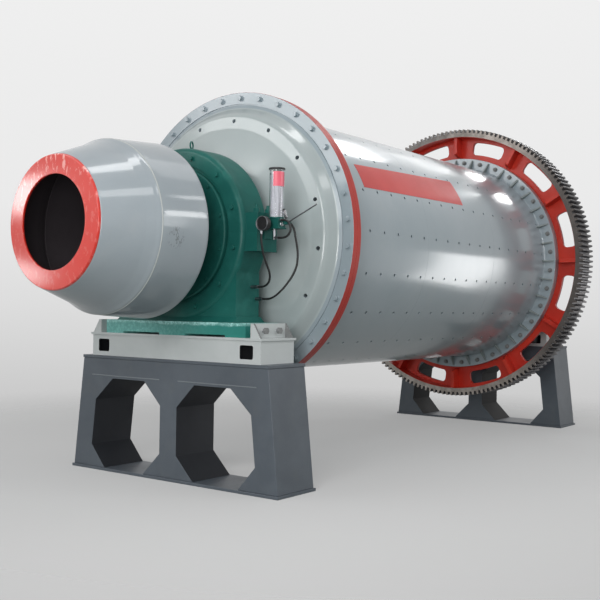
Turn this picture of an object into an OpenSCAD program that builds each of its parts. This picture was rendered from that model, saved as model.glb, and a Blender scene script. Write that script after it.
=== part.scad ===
// Ball mill on two welded stands: feed end at -X, geared discharge end at +X.
// All sizes are in millimetres, the ground is at Z = 0 and the mill turns about an axis along X.

/* [Drum] */
// Inside diameter of the shell
shell_bore_d = 2400; // [2200:20:2500]
// Length of the shell between the two end covers
shell_len = 4500; // [3600:50:5400]
// Thickness of the shell plate
shell_wall = 25; // [16:1:32]
// How far the shell flanges stand out of the shell plate
flange_lip = 142; // [120:2:160]
// Thickness of each shell flange and of each cover flange
flange_t = 56; // [40:2:70]
// Stiffening gussets behind the discharge flange
gusset_count = 36; // [24:1:40]
// How far a gusset reaches along the shell
gusset_len = 80; // [40:5:120]
// Thickness of a gusset
gusset_t = 14; // [8:1:24]
// How far a gusset's tip stays in from the flange's rim
gusset_inset = 20; // [10:1:40]

/* [End covers] */
// How far the cover stands out in front of its flange
cover_rise = 300; // [260:5:330]
// Thickness of the cover casting
cover_wall = 60; // [40:2:80]
// Diameter of the boss that carries the trunnion
boss_d = 1040; // [980:10:1100]
// Width of the groove between flange and cover
groove_w = 10; // [6:1:16]
// Depth of the groove between flange and cover
groove_depth = 8; // [4:1:12]

/* [Trunnions] */
// Diameter of the bearing journal
journal_d = 900; // [840:10:960]
// Diameter of the neck outside the bearing
neck_d = 770; // [740:5:800]
// Diameter of the passage through the trunnion
passage_d = 660; // [600:10:690]
// Diameter of the bolted flange at the end of the neck
neck_flange_d = 940; // [900:10:1000]
// Thickness of that flange
neck_flange_t = 30; // [20:2:40]
// Distance from the middle of the bearing to the end of the neck
neck_end = 350; // [320:5:400]
// Radial clearance between journal and bearing
running_gap = 0.5; // [0.4:0.05:0.8]
// Length of the spout at the discharge end
spout_len = 175; // [120:5:240]
// How far the spout widens towards its end
spout_flare = 50; // [20:5:80]

/* [Feeder] */
// Distance from the end of the neck to the barrel's back
feeder_pipe = 224; // [180:4:280]
// Outside diameter of the mouth
mouth_d = 1028; // [960:4:1080]
// Diameter of the opening in the mouth ring
mouth_bore_d = 730; // [640:5:800]
// Thickness of the mouth ring
mouth_t = 20; // [12:1:30]
// Length of the cone from the mouth to the ridge
cone_len = 468; // [420:4:520]
// Diameter at the ridge
ridge_d = 1400; // [1340:5:1440]
// Length of the barrel behind the ridge
barrel_len = 461; // [400:1:520]
// Diameter at the back of the barrel
barrel_d = 1466; // [1440:2:1490]
// Thickness of the feeder plate
feeder_wall = 16; // [10:1:20]

/* [Girth gear] */
// Number of teeth
gear_teeth = 172; // [140:2:180]
// Radial width of the web between the shell flange and the rim
web_band = 273; // [240:1:300]
// Height of a tooth
tooth_h = 45; // [30:1:50]
// Width of the rim along the axis
rim_w = 345; // [280:5:400]
// How far the rim reaches back over the shell
rim_back = 182; // [150:2:220]
// Thickness of the rim under the teeth
rim_t = 55; // [40:1:70]
// Thickness of the web
web_t = 50; // [36:2:60]
// Number of slots in the web, and of ribs between them
slot_count = 12; // [10:1:14]
// Angle that one slot covers
slot_angle = 16.5; // [12:0.5:18]
// Radial width of a slot
slot_w = 160; // [110:5:170]
// Thickness of a rib
rib_t = 44; // [24:2:60]
// How far the ribs stand forward of the web
rib_depth = 150; // [100:5:150]

/* [Bearings] */
// Distance from the shell flange to the middle of the feed bearing
feed_bearing_reach = 552; // [545:1:600]
// Distance from the shell flange to the middle of the discharge bearing
discharge_bearing_reach = 772; // [760:1:840]
// Outside diameter of the bearing cap
cap_d = 1506; // [1480:2:1530]
// Width of the bearing along the axis
bearing_w = 340; // [330:2:350]
// Radius of the cap's shoulders
shoulder_r = 48; // [20:2:60]
// Width of the housing below the cap
housing_w = 1340; // [1280:10:1400]
// Height of the mill axis above the bearing's underside
centre_h = 873; // [800:1:960]
// Thickness of the foot that the housing stands on
foot_t = 120; // [80:2:140]
// Length of the foot across the mill
foot_len = 1660; // [1600:10:1690]
// Depth of the foot along the mill
foot_depth = 420; // [400:2:430]
// Diameter of the cover ring round the neck
seal_d = 1150; // [1120:5:1180]
// Height of each half of the split lugs
lug_h = 160; // [120:5:180]
// How far the lugs stand out from the axis
lug_reach = 870; // [850:1:872]

/* [Bearing beds] */
// Depth of the bed along the mill
bed_depth = 440; // [424:2:450]
// Height of the bed's box
bed_h = 191; // [170:1:210]
// Thickness of the bed's plates
bed_wall = 16; // [10:1:22]
// Thickness of the plate on top of the bed
bed_plate_t = 20; // [14:1:30]
// How far the top plate stands out all round
bed_plate_lip = 14; // [4:1:16]
// Thickness of the stop plates at the ends of the foot
stop_t = 30; // [20:1:40]
// Height of the stops
stop_h = 120; // [90:2:140]
// Gap between the foot and each stop
stop_gap = 60; // [40:2:80]
// Length of the stop's gussets
stop_web = 75; // [50:5:100]
// Width of the windows in the bed
window_w = 140; // [100:5:170]
// Height of the windows in the bed
window_h = 113; // [80:1:120]

/* [Stands] */
// Height of the stand's frame without its plates
stand_h = 996; // [900:5:1010]
// Width of the frame at its top
stand_top_w = 2194; // [2120:4:2240]
// Width of the frame at its bottom
stand_foot_w = 2420; // [2300:10:2500]
// Depth of the frame along the mill
stand_depth = 483; // [460:1:500]
// Thickness of the plates above and below the frame
stand_plate_t = 25; // [16:1:30]
// Width of the post between the two openings
post_w = 200; // [160:5:240]
// Depth of the beam above the openings
beam_h = 180; // [140:5:220]
// Size of the corner pieces in the openings
corner_cut = 200; // [150:5:230]
// Width of the outer legs
leg_w = 215; // [180:5:240]

/* [Grease pump] */
// Diameter of the grease reservoir
reservoir_d = 120; // [90:2:130]
// Height of the grease reservoir
reservoir_h = 390; // [300:5:420]
// Thickness of the reservoir's wall
reservoir_wall = 5; // [3:0.5:8]
// Gap between the bearing's lug and the pump's body
pump_gap = 39; // [34:1:60]
// Height of the pump's shelf above the mill axis
shelf_rise = 35; // [25:1:45]
// Length of the pump lever
lever_len = 300; // [200:5:330]
// Diameter of the pump lever
lever_d = 12; // [8:1:16]
// Angle of the lever above the horizontal
lever_angle = 25; // [0:1:40]

/* [Hidden] */

$fn = 120;
eps = 0.01;
past = 2;
big = 4000;
fine_fn = 180;
small_fn = 48;
tiny_fn = 24;

light_grey = "#aeb5b4";
blue_grey = "#9ba2a6";
mill_red = "#cf4632";
tooth_brown = "#4a403c";
bearing_green = "#2f7468";
stand_grey = "#5a5e66";
bed_grey = "#a9adac";
steel = "#b9bcc0";
rubber_black = "#1b1b1d";
clear_white = "#e8e6ea";

// Shell and covers
shell_bore_r = shell_bore_d / 2;
shell_r = shell_bore_r + shell_wall;
flange_r = shell_r + flange_lip;
drum_len = shell_len + 2 * flange_t;
groove_r = shell_r + flange_lip / 4;
boss_r = boss_d / 2;
gusset_sink = 1;
gusset_nose = 14;
// Steps of the cover's outside from the shell's radius inwards, and the share of its rise at each
edge_in = 15;
slope_in = 65;
turn_in = 95;
band_in = 205;
boss_foot = 70;
boss_turn = 20;
edge_share = 0.05;
slope_share = 0.27;
turn_share = 0.33;
band_share = 0.42;
cone_share = 0.82;
boss_share = 0.9;
boss_wall = 96;
inner_foot = 40;
inner_turn = 10;

// Trunnions and bearings
journal_r = journal_d / 2;
neck_r = neck_d / 2;
neck_flange_r = neck_flange_d / 2;
passage_r = passage_d / 2;
shoulder_play = 8;
shoulder_run = 4;
bearing_h = bearing_w / 2;
recess = 20;
recess_play = 25;
seal_r = seal_d / 2;
recess_r = seal_r + recess_play;
seal_t = 45;
seal_edge = 10;
plinth_h = 50;
plinth_lip = 20;
cap_r = cap_d / 2;
relief_h = 18;
relief_len = 455;
relief_inset = 448;
relief_y = foot_len / 2 - relief_inset;
lug_w = 260;
lug_sink = 53;
lug_root = cap_r - lug_sink;

// Feeder
mouth_r = mouth_d / 2;
mouth_bore_r = mouth_bore_d / 2;
ridge_r = ridge_d / 2;
barrel_r = barrel_d / 2;
neck_face_x = -feed_bearing_reach - neck_end;
barrel_end_x = neck_face_x - feeder_pipe;
ridge_x = barrel_end_x - barrel_len;
mouth_x = ridge_x - cone_len;
mouth_back_r = mouth_r + mouth_t * (ridge_r - mouth_r) / cone_len;
weld_lip = 5;
kink_share = 0.75;
kink_dip = 9;
ridge_round = 45;
ridge_fall = 22;
ridge_edge = 5;
ridge_turn = 18;

// Girth gear
rim_r = flange_r + web_band;
root_r = rim_r + rim_t;
tooth_step = 360 / gear_teeth;
// Half widths of a tooth at its root, middle and tip, as shares of the pitch
tooth_root = 0.29;
tooth_middle = 0.235;
tooth_tip = 0.15;
web_r = groove_r;
slot_shift = 12;
slot_r = (rim_r + flange_r) / 2 + slot_shift;
slot_round = 45;
slot_out = slot_r + slot_w / 2;
slot_in = slot_r - slot_w / 2;
rib_foot = 22;
rib_rise = 60;
rib_cut = 82.5;
rib_step = rib_depth - rib_cut;
rib_sink = 1;

// Ground area and heights
discharge_reach = discharge_bearing_reach + neck_end + neck_flange_t + spout_len;
mid_x = (drum_len + discharge_reach + mouth_x) / 2;
stand_top_z = stand_h + 2 * stand_plate_t;
bed_top_z = stand_top_z + bed_h + bed_plate_t;
foot_top_z = bed_top_z + foot_t;
axis_h = bed_top_z + centre_h;

// Beds and stands
stop_inset = 5;
stop_y = foot_len / 2 + stop_gap;
bed_len = 2 * (stop_y + stop_t + stop_web + stop_inset);
window_inset = 150;
window_y = bed_len / 2 - window_inset;
window_round = 16;
stop_web_t = 20;
screw_d = 36;
screw_x = 90;
screw_tail = 40;
nut_d = 58;
nut_t = 24;
nut_play = 16;
base_lip = 14;
top_lip = 6;

// Lifting eye
eye_r = 31;
eye_bar = 14;
eye_collar_d = 50;
eye_collar_t = 12;
eye_turn = 20;
eye_sink = 2;

// Grease pump, measured from the middle of the feed bearing
shelf_z = axis_h + shelf_rise;
bracket_t = 12;
bracket_w = 100;
bracket_drop = 80;
shelf_lip = 12;
body_w = 100;
body_h = 85;
body_depth = 112;
pump_reach = lug_reach + pump_gap + body_depth / 2;
body_face_y = -pump_reach - body_depth / 2;
gauge_r = 48;
gauge_len = 60;
gauge_arm = 50;
gauge_arm_d = 34;
gauge_inset = 45;
gauge_y = -pump_reach + gauge_inset;
gauge_rise = 15;
fitting_d = 26;
collar_h = 12;
collar_lip = 2;
cap_lip = 8;
cap_t = 16;
hub_d = 34;
hub_w = 24;
ear_t = 12;
ear_gap = 0.5;
ear_sink = 1;
pivot_x = 30;
pivot_out = 42;
pivot_rise = 42;
pivot_y = body_face_y - pivot_out;
pivot_z = shelf_z + pivot_rise;
pin_d = 14;
pin_fit = 0.05;
hose_d = 18;
port_d = 30;
loop_drop = 40;
hose_sides = 10;

// Routes of the hoses, from the point on the mill axis in the middle of the feed bearing
hose_front_path = [
  [-138, -920, -25], [-138, -920, -55], [-133, -919, -90], [-116, -915, -140],
  [-83, -908, -205], [-40, -903, -268], [2, -898, -330], [32, -878, -388],
  [49, -838, -430], [52, -790, -448], [52, -765, -450], [52, -740, -450]
];
hose_back_path = [
  [78, -1000, 95], [97, -1000, 95], [134, -1005, 84], [160, -1014, 56],
  [169, -1026, 18], [172, -1036, -30], [176, -1046, -90], [181, -1053, -150],
  [182, -1053, -210], [177, -1045, -280], [162, -1020, -350], [140, -980, -420],
  [122, -925, -485], [112, -862, -532], [112, -800, -550], [112, -740, -550]
];
hose_return_path = [
  [-18, -1035, 94], [-18, -1055, 94], [-18, -1091, 84], [-18, -1117, 58],
  [-18, -1127, 22], [-18, -1117, -14], [-18, -1091, -40], [-18, -1055, -50],
  [-18, -1000, -50]
];

// Points on an arc, for round stretches of a profile
function arc(cx, cy, r, from, to, steps = 6) =
  [for (i = [0 : steps]) let (a = from + (to - from) * i / steps) [cx + r * cos(a), cy + r * sin(a)]];

// Places the mill's own frame, whose X = 0 is the feed flange's face, over the middle of the ground area
module mill() translate([-mid_x, 0, 0]) children();

// The same for a piece that is drawn outwards (towards -X) from a shell flange
module feed_end() mill() children();
module discharge_end() mill() translate([drum_len, 0, 0]) mirror([1, 0, 0]) children();

// Turns a profile of [radius, x] points about the mill axis
module turned(profile) translate([0, 0, axis_h]) rotate([0, 90, 0]) rotate_extrude() polygon(profile);

// Repeats around the mill axis, with the first copy on +Y
module around(count, start = 0)
  for (i = [0 : count - 1])
    translate([0, 0, axis_h]) rotate([start + 360 * i / count, 0, 0]) children();

// A plain plate with its lowest corner at p
module block(p, size) translate(p) cube(size);

// A hose as one closed tube swept along its route
function unit(v) = v / norm(v);
function heading(path, i) =
  let (last = len(path) - 1) unit(path[min(i + 1, last)] - path[max(i - 1, 0)]);
function ring_at(p, dir, r) =
  let (side = unit(cross(dir, abs(dir.x) < 0.9 ? [1, 0, 0] : [0, 1, 0])), up = cross(dir, side))
    [for (k = [0 : hose_sides - 1])
      p + r * (cos(360 * k / hose_sides) * side + sin(360 * k / hose_sides) * up)];

module hose(path) {
  rings = len(path);
  points = [for (i = [0 : rings - 1]) each ring_at(path[i], heading(path, i), hose_d / 2)];
  walls = [for (i = [0 : rings - 2], k = [0 : hose_sides - 1])
    let (n = (k + 1) % hose_sides, a = i * hose_sides, b = a + hose_sides)
      [a + k, a + n, b + n, b + k]];
  first = [for (k = [0 : hose_sides - 1]) hose_sides - 1 - k];
  last = [for (k = [0 : hose_sides - 1]) (rings - 1) * hose_sides + k];
  polyhedron(points, concat([first], walls, [last]));
}

// Drum
module shell_barrel() color(light_grey) mill() turned([
  [shell_bore_r, flange_t], [shell_r, flange_t],
  [shell_r, drum_len - flange_t], [shell_bore_r, drum_len - flange_t]
]);

module feed_shell_flange() color(light_grey) mill() turned([
  [shell_r, flange_t], [flange_r, flange_t], [flange_r, 2 * flange_t], [shell_r, 2 * flange_t]
]);

module gusset() rotate([90, 0, 0]) translate([0, 0, -gusset_t / 2]) linear_extrude(gusset_t)
  polygon([
    [0, shell_r - gusset_sink], [0, flange_r - gusset_inset], [-gusset_nose, flange_r - gusset_inset],
    [-gusset_len, shell_r + gusset_nose], [-gusset_len, shell_r - gusset_sink]
  ]);

module discharge_shell_flange() color(light_grey) mill() difference() {
  union() {
    turned([
      [shell_r, drum_len - 2 * flange_t], [flange_r, drum_len - 2 * flange_t],
      [flange_r, drum_len - flange_t], [shell_r, drum_len - flange_t]
    ]);
    translate([drum_len - 2 * flange_t, 0, 0]) around(gusset_count, 90) gusset();
  }
  translate([0, 0, axis_h]) rotate([0, 90, 0]) cylinder(r = shell_r, h = drum_len + past);
}

// The outside of a cover, from the flange's rim in to the boss, drawn outwards from x = 0
function cover_outside() = [
  [flange_r, flange_t], [flange_r, 0], [groove_r, 0], [groove_r, groove_depth],
  [groove_r - groove_w, groove_depth], [groove_r - groove_w, 0],
  [shell_r - edge_in, -cover_rise * edge_share],
  [shell_r - slope_in, -cover_rise * slope_share],
  [shell_r - turn_in, -cover_rise * turn_share],
  [shell_r - band_in, -cover_rise * band_share],
  [boss_r + boss_foot, -cover_rise * cone_share],
  [boss_r + boss_turn, -cover_rise * boss_share],
  [boss_r, -cover_rise]
];
function cover_inside() = [
  [passage_r, -cover_rise], [passage_r, -cover_rise + boss_wall],
  [boss_r + inner_foot, -cover_rise * cone_share + cover_wall],
  [shell_r - band_in, -cover_rise * band_share + cover_wall],
  [shell_r - turn_in, -cover_rise * turn_share + cover_wall + inner_turn],
  [shell_bore_r, flange_t]
];
module cover() turned(concat(cover_outside(), cover_inside()));
module feed_cover() color(light_grey) feed_end() cover();
module discharge_cover() color(light_grey) discharge_end() cover();

// A trunnion with its journal in the bearing, a narrower neck and a bolted flange
module trunnion(reach) {
  shoulder_x = -reach - bearing_h + recess + shoulder_play;
  face_x = -reach - neck_end;
  turned([
    [passage_r, -cover_rise], [journal_r, -cover_rise], [journal_r, shoulder_x],
    [neck_r, shoulder_x - shoulder_run], [neck_r, face_x + neck_flange_t],
    [neck_flange_r, face_x + neck_flange_t], [neck_flange_r, face_x], [passage_r, face_x]
  ]);
}
module feed_trunnion() color(steel) feed_end() trunnion(feed_bearing_reach);
module discharge_trunnion() color(steel) discharge_end() trunnion(discharge_bearing_reach);

module discharge_spout() color(blue_grey) discharge_end() {
  face_x = -discharge_bearing_reach - neck_end;
  end_x = face_x - neck_flange_t - spout_len;
  turned([
    [passage_r, face_x], [neck_flange_r, face_x], [neck_flange_r, face_x - neck_flange_t],
    [passage_r + feeder_wall, face_x - neck_flange_t], [passage_r + feeder_wall + spout_flare, end_x],
    [passage_r + spout_flare, end_x], [passage_r, face_x - neck_flange_t]
  ]);
}

// Drum feeder
module feeder_mouth_ring() color(mill_red) mill() turned([
  [mouth_bore_r, mouth_x], [mouth_r, mouth_x],
  [mouth_back_r, mouth_x + mouth_t], [mouth_bore_r, mouth_x + mouth_t]
]);

// Outline of the cone from the mouth ring to the ridge, moved inwards by depth
function cone_line(depth) = [
  [mouth_back_r - depth, mouth_x + mouth_t],
  [mouth_r + (ridge_r - mouth_r) * kink_share - kink_dip - depth, mouth_x + cone_len * kink_share],
  [ridge_r - ridge_fall - depth, ridge_x - ridge_round],
  [ridge_r - ridge_edge - depth, ridge_x - ridge_turn],
  [ridge_r - depth, ridge_x]
];
function flipped(list) = [for (i = [len(list) - 1 : -1 : 0]) list[i]];

module feeder_cone() color(blue_grey) mill() turned(concat(cone_line(0), flipped(cone_line(feeder_wall))));

module feeder_barrel() color(blue_grey) mill() turned([
  [ridge_r - feeder_wall, ridge_x], [ridge_r, ridge_x],
  [ridge_r + ridge_edge, ridge_x + ridge_round], [barrel_r, barrel_end_x],
  [barrel_r - feeder_wall, barrel_end_x], [ridge_r + ridge_edge - feeder_wall, ridge_x + ridge_round]
]);

// Back plate of the feeder with the pipe that bolts to the trunnion
module feeder_back() color(blue_grey) mill() turned([
  [passage_r, barrel_end_x], [barrel_r - weld_lip, barrel_end_x],
  [barrel_r - weld_lip, barrel_end_x + feeder_wall], [neck_r, barrel_end_x + feeder_wall],
  [neck_r, neck_face_x - neck_flange_t], [neck_flange_r, neck_face_x - neck_flange_t],
  [neck_flange_r, neck_face_x], [passage_r, neck_face_x]
]);

// Girth gear
// Outline of one tooth: root, middle and tip on both flanks
function tooth(a) = [
  for (c = [[-tooth_root, 0], [-tooth_middle, 0.5], [-tooth_tip, 1], [tooth_tip, 1], [tooth_middle, 0.5],
      [tooth_root, 0]])
    (root_r + tooth_h * c[1]) * [cos(a + c[0] * tooth_step), sin(a + c[0] * tooth_step)]
];
module gear_rim() color(tooth_brown) mill()
  translate([drum_len - rim_back, 0, axis_h]) rotate([0, 90, 0]) linear_extrude(rim_w) difference() {
    polygon([for (i = [0 : gear_teeth - 1]) each tooth(90 + i * tooth_step)]);
    circle(rim_r, $fn = fine_fn);
  }

// One side of a slot's outline: half the outer arc, two turned corners and half the inner arc
function slot_side(half) =
  let (
    far = slot_out - slot_round, near = slot_in + slot_round,
    far_turn = half - asin(slot_round / far), near_turn = half - asin(slot_round / near)
  ) concat(
    [for (i = [1 : 3]) slot_out * [cos(far_turn * i / 4), sin(far_turn * i / 4)]],
    arc(far * cos(far_turn), far * sin(far_turn), slot_round, far_turn, half + 90, 4),
    arc(near * cos(near_turn), near * sin(near_turn), slot_round, half + 90, near_turn + 180, 4),
    [for (i = [3 : -1 : 1]) slot_in * [cos(near_turn * i / 4), sin(near_turn * i / 4)]]
  );
module slot() {
  side = slot_side(slot_angle / 2);
  polygon(concat(side, [for (p = flipped(side)) [p.x, -p.y]]));
}
module gear_web() color(mill_red) mill()
  translate([drum_len, 0, axis_h]) rotate([0, 90, 0]) linear_extrude(web_t) difference() {
    circle(rim_r, $fn = fine_fn);
    circle(web_r, $fn = fine_fn);
    for (i = [0 : slot_count - 1]) rotate(90 + 180 / slot_count + 360 * i / slot_count) slot();
  }

module rib() rotate([90, 0, 0]) translate([0, 0, -rib_t / 2]) linear_extrude(rib_t)
  polygon([
    [0, flange_r + rib_foot], [-rib_step, flange_r + rib_foot], [-rib_depth, flange_r + rib_rise],
    [-rib_depth, rim_r - rib_sink], [0, rim_r - rib_sink]
  ]);
module gear_ribs() color(mill_red) mill()
  translate([drum_len, 0, 0]) around(slot_count, 90) rib();

// Stands, drawn for one end with x = 0 in the middle of the bearing
module feed_seat() feed_end() translate([-feed_bearing_reach, 0, 0]) children();
module discharge_seat() discharge_end() translate([-discharge_bearing_reach, 0, 0]) children();

module stand_base() block(
  [-stand_depth / 2 - base_lip, -stand_foot_w / 2 - base_lip, 0],
  [stand_depth + 2 * base_lip, stand_foot_w + 2 * base_lip, stand_plate_t]);

module stand_top() block(
  [-stand_depth / 2 - top_lip, -stand_top_w / 2 - top_lip, stand_plate_t + stand_h],
  [stand_depth + 2 * top_lip, stand_top_w + 2 * top_lip, stand_plate_t]);

// Half width of the frame's outline at a height above its bottom
function side_at(z) = stand_foot_w / 2 + (stand_top_w - stand_foot_w) / 2 * z / stand_h;

module stand_opening() {
  top = stand_h - beam_h;
  in = post_w / 2;
  out = function (z) side_at(z) - leg_w;
  polygon([
    [in, corner_cut], [in + corner_cut, 0], [out(0) - corner_cut, 0], [out(corner_cut), corner_cut],
    [out(top - corner_cut), top - corner_cut], [out(top) - corner_cut, top],
    [in + corner_cut, top], [in, top - corner_cut]
  ]);
}
module stand_frame() translate([-stand_depth / 2, 0, stand_plate_t])
  rotate([90, 0, 90]) linear_extrude(stand_depth) difference() {
    polygon([[-side_at(0), 0], [side_at(0), 0], [side_at(stand_h), stand_h], [-side_at(stand_h), stand_h]]);
    stand_opening();
    mirror([1, 0]) stand_opening();
  }

module feed_stand_base() color(stand_grey) feed_seat() stand_base();
module feed_stand_frame() color(stand_grey) feed_seat() stand_frame();
module feed_stand_top() color(stand_grey) feed_seat() stand_top();
module discharge_stand_base() color(stand_grey) discharge_seat() stand_base();
module discharge_stand_frame() color(stand_grey) discharge_seat() stand_frame();
module discharge_stand_top() color(stand_grey) discharge_seat() stand_top();

// Bearing bed: a welded box with windows at both ends and a plate on top
module bed() {
  cell = bed_len / 2 - bed_wall - (window_y - window_w);
  difference() {
    block([-bed_depth / 2, -bed_len / 2, stand_top_z], [bed_depth, bed_len, bed_h]);
    for (s = [-1, 1]) {
      translate([0, s * (bed_len / 2 - bed_wall - cell / 2), stand_top_z + bed_h / 2])
        cube([bed_depth - 2 * bed_wall, cell, bed_h - 2 * bed_wall], center = true);
      translate([-bed_depth / 2 - past, s * window_y, stand_top_z + bed_h / 2])
        rotate([90, 0, 90]) linear_extrude(bed_depth + 2 * past) window_outline();
    }
  }
  block([-bed_depth / 2 - bed_plate_lip, -bed_len / 2 - bed_plate_lip, stand_top_z + bed_h],
    [bed_depth + 2 * bed_plate_lip, bed_len + 2 * bed_plate_lip, bed_plate_t]);
}

// The window's outline, with its four corners turned
module window_outline() {
  square([window_w - 2 * window_round, window_h], center = true);
  square([window_w, window_h - 2 * window_round], center = true);
  for (sx = [-1, 1], sy = [-1, 1])
    translate([sx * (window_w / 2 - window_round), sy * (window_h / 2 - window_round)])
      circle(window_round, $fn = tiny_fn);
}

// A stop at each end of the foot: an upright plate, two gussets and two adjusting screws
module bed_stops() for (s = [-1, 1]) mirror([0, s < 0 ? 1 : 0, 0]) {
  block([-bed_depth / 2, stop_y, bed_top_z], [bed_depth, stop_t, stop_h]);
  for (x = [-bed_depth / 2, bed_depth / 2 - stop_web_t])
    translate([x, stop_y + stop_t, bed_top_z]) rotate([90, 0, 90]) linear_extrude(stop_web_t)
      polygon([[0, 0], [stop_web, 0], [0, stop_h]]);
  for (x = [-screw_x, screw_x]) translate([x, foot_len / 2, bed_top_z + stop_h / 2]) {
    rotate([-90, 0, 0]) cylinder(d = screw_d, h = stop_gap + stop_t + screw_tail, $fn = tiny_fn);
    translate([0, stop_gap + stop_t + nut_play, 0]) rotate([-90, 0, 0])
      cylinder(d = nut_d, h = nut_t, $fn = 6);
  }
}
module feed_bed() color(bed_grey) feed_seat() bed();
module feed_bed_stops() color(bed_grey) feed_seat() bed_stops();
module discharge_bed() color(bed_grey) discharge_seat() bed();
module discharge_bed_stops() color(bed_grey) discharge_seat() bed_stops();

// The turned form that housing and cap share
module bearing_form() turned([
  each [[0, -bearing_h + recess], [recess_r, -bearing_h + recess], [recess_r, -bearing_h]],
  each arc(cap_r - shoulder_r, -bearing_h + shoulder_r, shoulder_r, -90, 0),
  each arc(cap_r - shoulder_r, bearing_h - shoulder_r, shoulder_r, 0, 90),
  each [[recess_r, bearing_h], [recess_r, bearing_h - recess], [0, bearing_h - recess]]
]);
module journal_bore() translate([-bearing_w, 0, axis_h]) rotate([0, 90, 0])
  cylinder(r = journal_r + running_gap, h = 2 * bearing_w);
module lugs(z) for (s = [-1, 1])
  block([-lug_w / 2, s < 0 ? -lug_reach : lug_root, z], [lug_w, lug_reach - lug_root, lug_h]);

module bearing_cap() difference() {
  union() {
    intersection() {
      bearing_form();
      block([-bearing_w, -big / 2, axis_h], [2 * bearing_w, big, big]);
    }
    lugs(axis_h);
  }
  journal_bore();
}

module bearing_housing() difference() {
  union() {
    intersection() {
      bearing_form();
      block([-bearing_w, -big / 2, foot_top_z - eps], [2 * bearing_w, big, axis_h - foot_top_z + eps]);
    }
    block([-bearing_h + recess, -housing_w / 2, foot_top_z - eps],
      [bearing_w - 2 * recess, housing_w, axis_h - foot_top_z + eps]);
    translate([0, housing_w / 2 + plinth_lip, foot_top_z - eps]) rotate([90, 0, 0])
      linear_extrude(housing_w + 2 * plinth_lip) polygon([
        [-foot_depth / 2, 0], [foot_depth / 2, 0], [bearing_h - recess, plinth_h],
        [-bearing_h + recess, plinth_h]
      ]);
    block([-foot_depth / 2, -foot_len / 2, bed_top_z], [foot_depth, foot_len, foot_t]);
    lugs(axis_h - lug_h);
  }
  journal_bore();
  for (s = [-1, 1])
    translate([-foot_depth / 2 - past, s * relief_y - relief_len / 2, bed_top_z - past])
      cube([foot_depth + 2 * past, relief_len, relief_h + past]);
}

// Cover rings: round the neck outside, round the journal inside
module bearing_seals() {
  outer_x = -bearing_h + recess;
  inner_x = bearing_h - recess;
  turned([
    [neck_r + running_gap, outer_x - seal_t], [seal_r - seal_edge, outer_x - seal_t],
    [seal_r, outer_x - seal_t + seal_edge], [seal_r, outer_x], [neck_r + running_gap, outer_x]
  ]);
  turned([
    [journal_r + running_gap, inner_x], [seal_r, inner_x], [seal_r, inner_x + seal_t - seal_edge],
    [seal_r - seal_edge, inner_x + seal_t], [journal_r + running_gap, inner_x + seal_t]
  ]);
}

module lifting_eye() translate([0, 0, axis_h + cap_r]) {
  cylinder(d = eye_collar_d, h = eye_collar_t, $fn = small_fn);
  translate([0, 0, eye_collar_t + eye_r + eye_bar / 2 - eye_sink]) rotate([90, 0, eye_turn])
    rotate_extrude($fn = small_fn) translate([eye_r, 0]) circle(d = eye_bar, $fn = tiny_fn);
}

module feed_bearing_housing() color(bearing_green) feed_seat() bearing_housing();
module feed_bearing_cap() color(bearing_green) feed_seat() bearing_cap();
module feed_bearing_seals() color(bearing_green) feed_seat() bearing_seals();
module feed_lifting_eye() color(bearing_green) feed_seat() lifting_eye();
module discharge_bearing_housing() color(bearing_green) discharge_seat() bearing_housing();
module discharge_bearing_cap() color(bearing_green) discharge_seat() bearing_cap();
module discharge_bearing_seals() color(bearing_green) discharge_seat() bearing_seals();
module discharge_lifting_eye() color(bearing_green) discharge_seat() lifting_eye();

// Grease pump on the feed bearing's lug, drawn with x = 0 in the middle of the bearing
module pump_bracket() color(bearing_green) feed_seat() {
  plate_y = -lug_reach - bracket_t;
  block([-bracket_w / 2, plate_y, shelf_z - bracket_t - bracket_drop],
    [bracket_w, bracket_t, bracket_drop + bracket_t]);
  block([-bracket_w / 2, body_face_y - shelf_lip, shelf_z - bracket_t],
    [bracket_w, plate_y - body_face_y + shelf_lip, bracket_t]);
}

// The pump's body carries two ears with the lever's pin between them
module pump_body() color(bearing_green) feed_seat() {
  pin_len = hub_w + 2 * (ear_gap + ear_t);
  block([-body_w / 2, body_face_y, shelf_z], [body_w, body_depth, body_h - collar_h]);
  translate([0, -pump_reach, shelf_z + body_h - collar_h])
    cylinder(d = reservoir_d + 2 * collar_lip, h = collar_h);
  for (s = [-1, 1]) translate([pivot_x + s * (hub_w / 2 + ear_gap + ear_t / 2), 0, 0]) ear();
  translate([pivot_x - pin_len / 2, pivot_y, pivot_z]) rotate([0, 90, 0])
    cylinder(d = pin_d, h = pin_len, $fn = small_fn);
}
module ear() {
  translate([-ear_t / 2, pivot_y, pivot_z]) rotate([0, 90, 0])
    cylinder(d = hub_d, h = ear_t, $fn = small_fn);
  block([-ear_t / 2, pivot_y, pivot_z - hub_d / 2], [ear_t, body_face_y - pivot_y + ear_sink, hub_d]);
}

module pump_reservoir() color(clear_white) feed_seat()
  translate([0, -pump_reach, shelf_z + body_h]) difference() {
    cylinder(d = reservoir_d, h = reservoir_h);
    translate([0, 0, -past]) cylinder(d = reservoir_d - 2 * reservoir_wall, h = reservoir_h + 2 * past);
  }

module pump_reservoir_cap() color(rubber_black) feed_seat()
  translate([0, -pump_reach, shelf_z + body_h + reservoir_h])
    cylinder(d = reservoir_d + 2 * cap_lip, h = cap_t);

module pump_gauge() color(rubber_black) feed_seat()
  translate([-body_w / 2, gauge_y, shelf_z + gauge_rise]) rotate([0, -90, 0]) {
    cylinder(d = gauge_arm_d, h = gauge_arm, $fn = small_fn);
    translate([0, 0, gauge_arm]) cylinder(r = gauge_r, h = gauge_len, $fn = small_fn);
  }

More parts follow.
